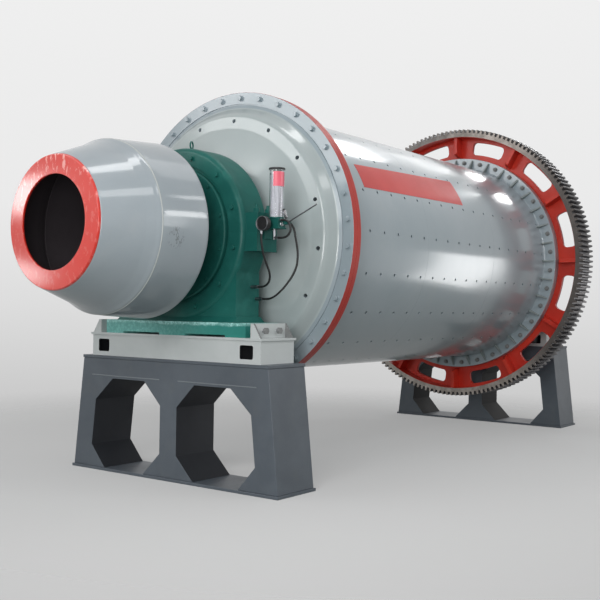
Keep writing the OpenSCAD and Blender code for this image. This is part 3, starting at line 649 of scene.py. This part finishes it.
def makeShell():
    start, end, radius = mill["flangeThick"], mill["drumLen"] - mill["flangeThick"], mill["shellRadius"]
    bm = turnedForm([(mill["shellBore"], start), (radius, start), (radius, end), (mill["shellBore"], end)], 0,
                    shell["sides"])
    for i in range(1, shell["rings"]):
        bmesh.ops.bisect_plane(bm, geom=bm.verts[:] + bm.edges[:] + bm.faces[:], plane_no=(1, 0, 0),
                               plane_co=(start + (end - start) * i / shell["rings"], 0, 0))
    piece = finishPiece("drumShell", bm, "drum", "drum", feedEnd, "shell_barrel", (), 38, False)
    places = [feedEnd @ place for k in range(shell["holeCount"]) for place in ringOf(
        shell["rows"], shell["holeStart"] + shell["holePitch"] * k, radius, shell["rowStart"], "out")]
    drilled(piece, places, shell["holeRadius"], shell["holeDepth"], 12)
    roundNormals(piece.data)
    seams = bmesh.new()
    for x in shell["weldX"]:
        bead = [(radius - 0.002, x - 0.008), (radius + 0.0012, x), (radius - 0.002, x + 0.008)]
        stamped(turnedForm(bead, 0.0015, shell["sides"]), bm=seams)
    finishPiece("shellSeams", seams, "drum", "drum", feedEnd, None, (), 60)


def makePanel():
    # a bare red panel that follows the shell
    low, high = shell["panelLow"], shell["panelHigh"]
    start, end = shell["panelX"]
    bm = bmesh.new()
    bmesh.ops.create_grid(bm, x_segments=12, y_segments=16, size=0.5)
    for vertex in bm.verts:
        along, up = vertex.co.x + 0.5, vertex.co.y + 0.5
        degrees = (low[0] + (low[1] - low[0]) * along) * (1 - up) + (high[0] + (high[1] - high[0]) * along) * up
        vertex.co = polar(mill["shellRadius"] + shell["panelLift"], degrees, start + (end - start) * along)
    faceOut(bm)
    face = bm.faces[:][0]
    if face.normal.dot(face.calc_center_median()) < 0:
        bmesh.ops.reverse_faces(bm, faces=bm.faces[:])
    bmesh.ops.solidify(bm, geom=bm.faces[:], thickness=-shell["panelThick"])
    finishPiece("redPanel", bm, "panel", "drum", feedEnd)


flange = {
    "bolts": 36, "boltRadius": 1.312, "head": (0.041, 0.024, (0.029, 0.005)),
    "nut": (0.041, 0.026, (0.029, 0.005), 0.006),
    "gussetLen": 0.08, "gussetThick": 0.018, "gussetInset": 0.02, "gussetNose": 0.014,
    # first bolt in degrees, x of the heads, radius of the nuts, finishes of heads and nuts
    "feed": (4.0, 0.0, 1.312, "drum", "drum"),
    "discharge": (5.0, -0.05, 1.307, "red", "nut"),
}


def makeGussets():
    low, length, thick = mill["shellRadius"], flange["gussetLen"], flange["gussetThick"]
    high, nose = mill["flangeRadius"] - flange["gussetInset"], flange["gussetNose"]
    plate = [(low - 0.001, 0), (high, 0), (high, nose), (low + nose, length), (low - 0.001, length)]
    gusset = bmesh.new()
    points = [gusset.verts.new((2 * mill["flangeThick"] + x, -thick / 2, radius)) for radius, x in plate]
    thicken(gusset, [gusset.faces.new(points)], (0, thick, 0))
    soften(gusset, gusset.edges[:], 0.0025, 1)
    # the gussets take the darker finish, as painted shade
    finishPiece("dischargeGussets", stamped(gusset, allRound(flange["bolts"])), "gusset", "drum", dischargeEnd)


def makeFlanges():
    thick, radius, inner = mill["flangeThick"], mill["flangeRadius"], mill["shellRadius"]
    for side, end in ends.items():
        bm = turnedForm([(inner, thick), (radius, thick), (radius, 2 * thick), (inner, 2 * thick)])
        if side == "feed":
            facing(bm, lambda x, r, out, nx: out > 0.3 and r > 1.3)
            finishPiece("feedShellFlange", bm, "drum", "drum", end, "feed_shell_flange", ("red",))
        else:
            makeGussets()
            finishPiece("dischargeShellFlange", bm, "drum", "drum", end, "discharge_shell_flange")
        low, foot = inner - 0.003, 2 * thick
        weld = turnedForm([(low, foot - 0.003), (inner + 0.012, foot - 0.003), (inner + 0.012, foot + 0.001),
                           (inner + 0.001, foot + 0.012), (low, foot + 0.012)], 0.003)
        finishPiece(side + "FlangeWeld", weld, "drum", "drum", end, None, (), 60)


def makeFlangeBolts():
    # heads on the covers, nuts behind the shell flanges
    for side, end in ends.items():
        start, headX, nutRadius, headFinish, nutFinish = flange[side]
        heads = ringOf(flange["bolts"], headX, flange["boltRadius"], start, "front")
        nuts = ringOf(flange["bolts"], 2 * mill["flangeThick"], nutRadius, start, "back")
        makeBolts(side + "FlangeBolts", flange["head"], heads, headFinish, "drum", end)
        makeBolts(side + "FlangeNuts", flange["nut"], nuts, nutFinish, "drum", end)


cover = {
    # sections of (radius, x): the edge with its groove, the dished outside and the inside
    "edge": [(1.367, 0.056), (1.367, 0), (1.2605, 0), (1.2605, 0.008), (1.2505, 0.008), (1.2505, 0)],
    "outside": [(1.21, -0.015), (1.16, -0.081), (1.13, -0.108), (1.02, -0.1215), (0.59, -0.246), (0.54, -0.27),
                (0.52, -0.3)],
    "inside": [(0.33, -0.3), (0.33, -0.204), (0.56, -0.186), (1.02, -0.066), (1.13, -0.029), (1.2, 0.056)],
    "front": -0.3, "dishSoft": 0.012, "edgeSoft": 0.004,
    "holes": 16, "holeX": -0.11, "holeAt": 1.082, "holeRadius": 0.0185, "holeDepth": 0.3, "holeStart": -16.6,
    "holeTilt": 14,
}


def makeCovers():
    for side, end in ends.items():
        bm, corners = outlined(cover["edge"] + cover["outside"] + cover["inside"])
        dish = corners[len(cover["edge"]):-len(cover["inside"])]
        soften(bm, dish, cover["dishSoft"], 4, "VERTICES", True)
        soften(bm, corners[:2], cover["edgeSoft"], 3, "VERTICES")
        turned(bm, 192)
        # the dish inside the shell radius gets the lighter cover paint, as painted light
        facing(bm, lambda x, r, out, nx: out > 0.5 and r > 1.3,
               lambda x, r, out, nx: r < mill["shellRadius"])
        piece = finishPiece(side + "Cover", bm, "drum", "drum", end, side + "_cover",
                            ("red" if side == "feed" else "drum", "cover"), 38, False)
        holes = ringOf(cover["holes"], cover["holeX"], cover["holeAt"], cover["holeStart"], "front")
        drilled(piece, [end @ place @ spun(cover["holeTilt"], "Y") for place in holes], cover["holeRadius"],
                cover["holeDepth"], 20)
        evenNormals(piece)


makeShell()
makePanel()
makeFlanges()
makeFlangeBolts()
makeCovers()
print("drum made")


# trunnions, the feeder on the feed one and the spout on the other
neck = {
    "journal": 0.45, "radius": 0.385, "passage": 0.33, "flange": 0.47, "flangeThick": 0.03, "shoulder": 0.142,
    "bolts": 16, "boltAt": 0.43, "boltStart": 11.25, "bolt": (0.03, 0.019, (0.022, 0.004)), "spoutLen": 0.175,
}
feeder = {
    # node, finish, softness, sides, sharp angle, profile of (radius, x), test of the faces inside
    "feederMouth": ("feeder_mouth_ring", "mouth", 0.005, 160, 38,
        [(0.365, -2.055), (0.514, -2.055), (0.522, -2.035), (0.365, -2.035)], None),
    "feederCone": ("feeder_cone", "feeder", 0.014, 192, 40,
        [(0.522, -2.035), (0.6445, -1.704), (0.678, -1.632), (0.695, -1.605), (0.7, -1.587),
         (0.684, -1.587), (0.679, -1.605), (0.662, -1.632), (0.6285, -1.704), (0.506, -2.035)],
        lambda x, r, out, nx: out < 0.3),
    "feederBarrel": ("feeder_barrel", "feeder", 0.004, 192, 40,
        [(0.684, -1.587), (0.7, -1.587), (0.705, -1.542), (0.733, -1.126), (0.717, -1.126), (0.689, -1.542)],
        lambda x, r, out, nx: out < -0.3 or (out < 0.3 and x < -1.136)),
    "feederRidgeWeld": (None, "weld", 0.002, 192, 70,
        [(0.696, -1.5942), (0.7018, -1.59015), (0.70225, -1.58475), (0.697, -1.5798)], None),
    "feederBack": ("feeder_back", "feeder", 0.003, 160, 38,
        [(0.33, -1.126), (0.728, -1.126), (0.728, -1.11), (0.385, -1.11), (0.385, -0.932), (0.47, -0.932),
         (0.47, -0.902), (0.33, -0.902)],
        lambda x, r, out, nx: out < -0.3 or nx < -0.5 or r < 0.34),
}


def neckFace(side):
    return -mill[side + "Reach"] - mill["neckEnd"]


def makeTrunnions():
    passage, rim, thick = neck["passage"], neck["flange"], neck["flangeThick"]
    for side, end in ends.items():
        face, shoulder = neckFace(side), -mill[side + "Reach"] - neck["shoulder"]
        bm = turnedForm([
            (passage, cover["front"]), (neck["journal"], cover["front"]), (neck["journal"], shoulder),
            (neck["radius"], shoulder - 0.004), (neck["radius"], face + thick), (rim, face + thick), (rim, face),
            (passage, face)], 0.003, 128)
        facing(bm, lambda x, r, out, nx: x < shoulder + 0.02,
               lambda x, r, out, nx: out < -0.5 or r < passage + 0.01)
        finishPiece(side + "Trunnion", bm, "journal", "drum", end, side + "_trunnion", ("drum", "inside"))
        bolts = ringOf(neck["bolts"], face + thick, neck["boltAt"], neck["boltStart"], "back")
        makeBolts(side + "NeckBolts", neck["bolt"], bolts, "dark", "drum", end)
    face = neckFace("discharge")
    back, tip = face - thick, face - thick - neck["spoutLen"]
    bm = turnedForm([(passage, face), (rim, face), (rim, back), (passage + 0.016, back), (passage + 0.066, tip),
                     (passage + 0.05, tip), (passage, back)], 0.003, 128)
    facing(bm, lambda x, r, out, nx: out < -0.5)
    finishPiece("dischargeSpout", bm, "feeder", "drum", dischargeEnd, "discharge_spout", ("inside",))
    bolts = ringOf(neck["bolts"], back, neck["boltAt"], neck["boltStart"], "front")
    makeBolts("spoutBolts", neck["bolt"], bolts, "bright", "drum", dischargeEnd)


def makeFeeder():
    for name, (node, finish, soft, sides, sharp, profile, test) in feeder.items():
        bm = turnedForm(profile, soft, sides)
        if test:
            facing(bm, test)
        finishPiece(name, bm, finish, "drum", feedEnd, node, ("inside",) if test else (), sharp)


makeTrunnions()
makeFeeder()
print("feeder and trunnions made")


# girth gear
gear = {
    "teeth": 172, "root": 1.695, "height": 0.045, "inside": 1.64, "width": 0.345, "back": 0.182, "webThick": 0.05,
    "slots": 12, "slotMiddle": 1.5155, "slotWide": 0.16, "slotHalf": 8.25, "slotRound": 0.055, "webInside": 1.2605,
    "ribThick": 0.044, "ribFoot": 0.022, "ribRise": 0.06, "ribStep": 0.0675, "ribDepth": 0.15,
}
gearPlace = shift((farX, 0, axisZ))


def sharpArcs(bm, angle):
    # edges sharper than an angle that lie across the axis
    return [e for e in bm.edges if len(e.link_faces) == 2 and e.calc_face_angle() > angle
            and abs(e.verts[0].co.x - e.verts[1].co.x) < 0.001]


def makeRim():
    # one tooth with its share of the rim
    pitch, root, tip = 360 / gear["teeth"], gear["root"], gear["root"] + gear["height"]
    flank = [(root + 0.001, -0.5), (root, -0.36), (root + 0.004, -0.29), (root + 0.02, -0.245),
             (tip - 0.006, -0.175), (tip, -0.145)]
    half = [(radius, share * pitch + 90) for radius, share in flank]
    other = [(radius, 180 - degrees) for radius, degrees in reversed(half)]
    outline = half + other + [(gear["inside"], 90 + pitch / 2), (gear["inside"], 90 - pitch / 2)]
    bm = bmesh.new()
    face = bm.faces.new([bm.verts.new(polar(radius, degrees)) for radius, degrees in outline])
    thicken(bm, [face], (gear["width"], 0, 0))
    openSides(bm, pitch / 2)
    soften(bm, sharpArcs(bm, 1.0), 0.003, 1)
    repeated(bm, gear["teeth"])
    facing(bm, lambda x, r, out, nx: abs(nx) > 0.5, lambda x, r, out, nx: out < -0.7 and r < 1.66)
    place = gearPlace @ shift((-gear["back"], 0, 0))
    finishPiece("gearRim", bm, "tooth", "drum", place, "gear_rim", ("rimEdge", "gearRed"), 30, False)


def makeWeb():
    # one sector of the web with its slot
    step, middle, wide, half = 360 / gear["slots"], gear["slotMiddle"], gear["slotWide"], gear["slotHalf"]
    bm = bmesh.new()
    outline = arcOf(gear["inside"], 90 - step / 2, 90 + step / 2, 16)
    outline += arcOf(gear["webInside"], 90 + step / 2, 90 - step / 2, 16)
    edge = [bm.verts.new(point) for point in outline]
    for start, end in zip(edge, edge[1:] + edge[:1]):
        bm.edges.new((start, end))
    slot = bmesh.new()
    far = arcOf(middle + wide / 2, 90 - half, 90 + half, 10)
    near = arcOf(middle - wide / 2, 90 + half, 90 - half, 10)
    rim = [slot.verts.new(point) for point in far + near]
    slot.faces.new(rim)
    corners = [rim[0], rim[len(far) - 1], rim[len(far)], rim[-1]]
    soften(slot, corners, gear["slotRound"], 6, "VERTICES")
    bmesh.ops.delete(slot, geom=slot.faces[:], context="FACES_ONLY")
    stamped(slot, bm=bm)
    bmesh.ops.triangle_fill(bm, use_beauty=True, edges=bm.edges[:])
    thicken(bm, bm.faces[:], (gear["webThick"], 0, 0))
    openSides(bm, step / 2)
    # the slot's edges, but not those of the web
    lips = [e for e in sharpArcs(bm, 1.2) if 1.35 < math.hypot(e.verts[0].co.y, e.verts[0].co.z) < 1.62]
    soften(bm, lips, 0.005, 2)
    bmesh.ops.transform(bm, matrix=spun(step / 2, "X"), verts=bm.verts[:])
    repeated(bm, gear["slots"])
    finishPiece("gearWeb", bm, "gearRed", "drum", gearPlace, "gear_web", (), 30)


def makeRibs():
    low, high, step, depth = mill["flangeRadius"], gear["inside"] - 0.001, gear["ribStep"], gear["ribDepth"]
    line = [(0, low + gear["ribFoot"]), (-step, low + gear["ribFoot"]), (-depth, low + gear["ribRise"]),
            (-depth, high), (0, high)]
    rib = bmesh.new()
    corners = [rib.verts.new((x, -gear["ribThick"] / 2, radius)) for x, radius in line]
    rib.faces.new(corners)
    soften(rib, corners[1:3], 0.012, 3, "VERTICES")
    thicken(rib, rib.faces[:], (0, gear["ribThick"], 0))
    soften(rib, [e for e in rib.edges if e.calc_face_angle() > 1.0], 0.004, 2)
    ribs = stamped(rib, allRound(gear["slots"]))
    finishPiece("gearRibs", ribs, "gearRed", "drum", gearPlace, "gear_ribs", (), 30)


makeRim()
makeWeb()
makeRibs()
print("girth gear made")


# stands, beds and bearings: the CAD shapes with soft edges, then their welds and bolts
stand = {
    "foot": 0.025, "footTop": 1.377, "openTop": 0.841, "seamAt": (0.11, 0.98), "depth": 0.2415,
    "halfFoot": 1.21, "halfTop": 1.097, "frameHeight": 0.996, "under": 1.015, "bedLip": 0.0155, "bedPlate": 0.025,
    # adjusting screws of the stops: height, radius and the parts along Y
    "screwZ": 1.317, "screwRadius": 0.032, "headFrom": 0.925, "nut": (0.93, 0.965), "shankTo": 0.889,
}


def insideStand(middle, normal):
    # the faces inside the openings get painted shade, a darker finish where shade falls
    slope = (stand["halfTop"] - stand["halfFoot"]) / stand["frameHeight"]
    side = stand["halfFoot"] + slope * (middle.z - stand["foot"])
    return (abs(normal.x) < 0.1 and abs(middle.y) < side - 0.01
            and stand["foot"] + 0.005 < middle.z < stand["under"])


def insideBed(node):
    # the bed's inner faces get painted shade
    low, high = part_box(node)
    lip = stand["bedLip"]
    return lambda middle, normal: (
        low.x + lip < middle.x < high.x - lip and low.y + lip < middle.y < high.y - lip
        and low.z + 0.005 < middle.z < high.z - stand["bedPlate"])


def stopFinish(middle, normal):
    # screws stay bare: the shank is bright and the nut is dark
    y = abs(middle.y)
    if abs(middle.z - stand["screwZ"]) < stand["screwRadius"] and y > stand["headFrom"]:
        return 2 if stand["nut"][0] < y < stand["nut"][1] else 1
    return y < stand["shankTo"]


def onFoot(middle, normal):
    return middle.z < stand["footTop"] + 0.002


def makeStands():
    for side in ends:
        # painted shade inside the openings, darker on the discharge stand
        openingShade = "recessShade" if side == "feed" else "deepRecessShade"
        for name, node, finish, width, others, pick in (
                ("StandBase", "_stand_base", "stand", 0.003, (), None),
                ("StandFrame", "_stand_frame", "stand", 0.004, (openingShade,), insideStand),
                ("StandTop", "_stand_top", "stand", 0.003, (), None),
                ("Bed", "_bed", "bed", 0.003, ("recessShade",), insideBed(side + "_bed")),
                ("Stops", "_bed_stops", "bed", 0.0025, ("bright", "nut"), stopFinish),
                # the housing's foot gets the lighter green, as painted light
                ("Housing", "_bearing_housing", "green", 0.002, ("foot",), onFoot),
                ("Cap", "_bearing_cap", "green", 0.0015, (), None),
                ("Seals", "_bearing_seals", "green", 0.0015, (), None)):
            dressed(side + name, side + node, finish, width, others, pick)
        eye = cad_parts[side + "_lifting_eye"].data
        eye.materials.clear()
        eye.materials.append(finishes["green"])


def makeStandSeams():
    # weld beads above the openings, on both faces of each stand
    near, far = stand["seamAt"]
    bead = Matrix.Diagonal((0.008, far - near, 0.01, 1))
    for side, seat in seats.items():
        bm = bmesh.new()
        for y in (-(near + far) / 2, (near + far) / 2):
            for x in (-stand["depth"], stand["depth"]):
                bmesh.ops.create_cube(bm, size=1, matrix=shift((x, y, stand["openTop"] + 0.025)) @ bead)
        roundEdges(finishPiece(side + "StandSeams", bm, "standWeld", "frame", seat), 0.003)


bearing = {
    "capBolt": (0.034, 0.02, (0.024, 0.004)), "capX": 0.17, "capAt": 0.668, "capStart": 104.5, "capPitch": 28.9,
    "sealBolt": (0.022, 0.014, (0.016, 0.003)), "sealX": 0.195, "sealAt": 0.545,
    "lugNut": (0.046, 0.034, (0.034, 0.006), 0.03), "lugX": 0.075, "lugY": 0.815, "lugTop": 0.16,
}


def makeBearingBolts():
    turns = [bearing["capStart"] + bearing["capPitch"] * k for k in range(-4, 6)]
    cap = [spot(-bearing["capX"], bearing["capAt"], turn, "front") for turn in turns if 20 < turn % 360 < 340]
    cap += [spot(bearing["capX"], bearing["capAt"], turn, "back") for turn in turns]
    seal = ringOf(12, -bearing["sealX"], bearing["sealAt"], 15, "front")
    seal += ringOf(12, bearing["sealX"], bearing["sealAt"], 15, "back")
    lugs = [shift((x, y, bearing["lugTop"])) for x in (-bearing["lugX"], bearing["lugX"])
            for y in (-bearing["lugY"], bearing["lugY"])]
    for side, hub in hubs.items():
        makeBolts(side + "CapBolts", bearing["capBolt"], cap, "green", "frame", hub)
        makeBolts(side + "SealBolts", bearing["sealBolt"], seal, "green", "frame", hub)
        makeBolts(side + "LugNuts", bearing["lugNut"], lugs, "green", "frame", hub)


makeStands()
makeStandSeams()
makeBearingBolts()
print("stands and bearings made")


# grease pump, measured from the middle of the feed bearing
pump = {
    "tubeFoot": (0, -0.965, 0.12), "rod": (0.005, 0.39), "bandFrom": 9, "bandAround": 145,
    "band": [(0.0603, 0.252), (0.0613, 0.252), (0.0613, 0.372), (0.0603, 0.372)],
    "gaugeAt": (-0.05, -0.934, 0.061), "nut": (0.026, 0.014, (0.018, 0.003)), "nutAt": (-0.002, -1.021, 0.062),
    "plungerTop": (0.012, -1.033, 0.188), "plungerFoot": (0.048, -1.033, 0.112),
    # node, finish, softness, sides, profile of (radius, length)
    "tube": {
        "reservoirTube": ("pump_reservoir", "clear", 0.0015, 64,
            [(0.055, 0), (0.06, 0), (0.06, 0.39), (0.055, 0.39)]),
        "reservoirGrease": (None, "grease", 0.001, 48,
            [(0.0055, 0.0008), (0.0542, 0.0008), (0.0542, 0.345), (0.0055, 0.349)]),
        "reservoirFollower": (None, "bright", 0.001, 48,
            [(0.0055, 0.35), (0.054, 0.347), (0.054, 0.365), (0.0055, 0.365)]),
    },
    "gauge": {
        "gaugeBody": ("pump_gauge", "black", 0.002, 48,
            [(0, 0), (0.017, 0), (0.017, -0.045), (0.056, -0.048), (0.06, -0.056), (0.06, -0.1), (0.053, -0.1),
             (0.05, -0.096), (0, -0.096)]),
        "gaugeRing": (None, "port", 0.001, 48,
            [(0.055, -0.099), (0.06, -0.099), (0.06, -0.104), (0.058, -0.106), (0.055, -0.103)]),
    },
}


def makePump():
    dressed("pumpBracket", "pump_bracket", "green")
    dressed("pumpBody", "pump_body", "green")
    dressed("pumpCap", "pump_reservoir_cap", "black", 0.004, segments=3)
    dressed("pumpLever", "pump_lever", "lever", 0.002, body="lever")
    dressed("hosePorts", "hose_ports", "port", 0.002)
    hub, upright = hubs["feed"], spun(-90, "Y")
    base, gauge = hub @ shift(pump["tubeFoot"]), hub @ shift(pump["gaugeAt"])
    for key, place in (("tube", base @ upright), ("gauge", gauge)):
        for name, (node, finish, soft, sides, profile) in pump[key].items():
            finishPiece(name, turnedForm(profile, soft, sides), finish, "frame", place, node)
    rod = bmesh.new()
    bar(rod, 20, pump["rod"][0], pump["rod"][0], pump["rod"][1])
    finishPiece("reservoirRod", rod, "bright", "frame", base)
    band = turnedForm(pump["band"], 0.0003, 48, math.radians(pump["bandAround"]))
    finishPiece("reservoirBand", band, "band", "frame", base @ spun(pump["bandFrom"], "Z") @ upright)
    start, run = Vector(pump["plungerTop"]), Vector(pump["plungerFoot"]) - Vector(pump["plungerTop"])
    end = run.length
    bm = turnedForm([(0.0, 0.0), (0.010, 0.0), (0.010, 0.012), (0.014, 0.014), (0.014, end - 0.012),
                     (0.011, end - 0.01), (0.011, end), (0.0, end)], 0.001, 32)
    facing(bm, lambda x, r, out, nx: x < 0.012 or x > end - 0.01)
    place = hub @ shift(start) @ run.to_track_quat("X", "Z").to_matrix().to_4x4()
    finishPiece("pumpPlunger", bm, "bright", "frame", place, None, ("black",))
    place = hub @ shift(pump["nutAt"]) @ spun(90, "X")
    makeBolts("pumpNut", pump["nut"], [place], "bright", "frame", None)


makePump()
print("grease pump made")


# floor, world and lights
studio = {
    "floorRadius": 60.0, "floorColour": tint(230, 230, 230), "floorUnder": (0.13, 0.18, 0.16), "floorClear": 0.45,
    "fadeFrom": 3.0, "fadeTo": 8.0,
    "sky": [(-0.35, 186), (-0.22, 191), (-0.1, 201), (0.0, 221), (0.1, 234), (0.35, 240)],
    "fillLow": (0.07, 0.1, 0.09), "fillHigh": (0.3, 0.3, 0.302),
    "boxes": [
        # name, middle, aim, width, height, brightness, lights matt surfaces too
        ("overhead", (-0.6, -1.3, 8.6), (-1.8, -0.4, 2.2), 1.3, 2.6, 8.5, False),
        ("overheadDrum", (3.2, -0.8, 9.0), (2.2, 0.0, 2.2), 2.6, 5.0, 1.2, True),
        ("sideHigh", (-1.2, -5.2, 6.6), (-1.6, -0.5, 2.3), 3.2, 1.1, 5.0, True),
        ("sideStrip", (2.4, -5.6, 3.95), (-1.5, -0.7, 2.2), 1.3, 0.6, 11.0, True),
        ("sideSpot", (2.9, -4.4, 5.75), (-1.25, -0.7, 2.35), 0.6, 0.4, 6.0, False),
        ("front", (-7.5, -3.4, 5.0), (0.0, -0.3, 2.2), 3.6, 2.6, 6.8, True),
        ("frontLow", (-6.8, -4.2, 1.9), (0.0, -0.8, 1.8), 3.2, 2.0, 9.2, True),
        ("frontGlow", (-7.5, 5.2, 7.0), (0.0, -0.6, 3.0), 5.0, 2.6, 4.8, True),
        ("ringGlow", (-7.5, 2.4, 4.2), (0.0, -0.8, 2.4), 1.6, 2.2, 3.0, False),
        ("flangeGlow", (-7.5, 5.3, 5.1), (0.0, -0.6, 3.0), 3.6, 1.6, 4.5, False),
        ("flangeSide", (-7.5, 4.1, 3.6), (0.0, -1.0, 2.6), 1.2, 1.5, 4.0, False),
        ("mouthGlow", (-7.5, 7.6, 3.35), (-2.0, 0.2, 2.4), 0.8, 0.6, 15.0, False),
        ("mouthGlowLow", (-7.5, 7.7, 2.0), (-2.0, 0.2, 1.9), 0.8, 0.4, 10.0, False),
        ("shellPatch", (10.6, 1.2, 9.6), (0.8, -0.8, 3.05), 2.6, 0.8, 11.0, True),
        ("shellStripe", (12.7, 1.9, 8.5), (2.6, -0.8, 3.05), 2.2, 1.1, 1.1, False),
        ("ovalNear", (14.0, 1.9, 7.6), (3.4, -0.8, 3.0), 1.3, 1.1, 17.0, False),
        ("ovalFar", (13.6, -1.2, 7.55), (3.7, -1.0, 2.83), 1.0, 0.9, 17.0, False),
        ("sideFar", (2.6, -6.6, 3.2), (3.8, -1.2, 2.0), 2.0, 1.6, 4.0, True),
        ("lowStrip", (7.45, -3.7, 1.2), (2.4, -1.2, 1.95), 1.35, 2.2, 1.2, False),
        ("lowStripCore", (7.45, -3.75, 1.3), (2.4, -1.2, 1.95), 1.0, 1.9, 4.4, False),
    ],
}


def makeLight(name, middle, aim, width, height, brightness, matte):
    lamp = bpy.data.lights.new(name, "AREA")
    lamp.shape = "RECTANGLE"
    lamp.size, lamp.size_y = width, height
    lamp.energy = brightness * math.pi * width * height
    light = linked(name, lamp)
    start, goal = (Vector(point) + Vector((millX, 0, 0)) for point in (middle, aim))
    light.rotation_euler = (goal - start).to_track_quat("-Z", "Y").to_euler()
    light.location = start
    light.visible_camera = False
    light.visible_diffuse = matte


def makeWorld():
    # a grey ramp on rays from the camera, and a plain fill on all others
    scene.world = bpy.data.worlds.new("studio")
    paint = Paint("studio", scene.world)
    height = paint.along(2)
    low, high = studio["sky"][0][0], studio["sky"][-1][0]
    stops = [((place - low) / (high - low), tint(level, level, level)) for place, level in studio["sky"]]
    span = paint.node("MapRange", {}, {0: height, 1: low, 2: high})
    ramp = paint.node("ValToRGB", {"stops": stops}, {0: span})
    fill = paint.mix(paint.node("MapRange", {}, {0: height, 1: -1.0}), studio["fillLow"], studio["fillHigh"])
    paint.set(Color=paint.mix(paint.seen(), fill, ramp))


def makeFloor():
    # a round floor that fades into the pale backdrop and keeps the mill's shadow
    bm = bmesh.new()
    bmesh.ops.create_circle(bm, cap_ends=True, segments=96, radius=studio["floorRadius"])
    floor = linked("floor", meshOf("floor", bm))
    paint = Paint("floorPaint")
    away = paint.node("VectorMath", {"operation": "LENGTH"}, {0: paint.place}, 1)
    fade = away.within(studio["fadeFrom"], studio["fadeTo"], studio["floorClear"], 1.0)
    dark = tuple(c * share for c, share in zip(studio["floorColour"], studio["floorUnder"]))
    paint.set(Base_Color=paint.mix(paint.seen(), dark, studio["floorColour"]), Roughness=0.9,
              Specular_IOR_Level=0.1)
    clear = paint.node("BsdfTransparent", {}, {})
    blend = paint.node("MixShader", {}, {0: fade, 1: Wire(paint, paint.shader.outputs[0]), 2: clear})
    paint.tree.links.new(blend.socket, paint.tree.nodes["Material Output"].inputs[0])
    floor.data.materials.append(paint.owner)


for box in studio["boxes"]:
    makeLight(*box)
makeWorld()
makeFloor()
print("studio made")
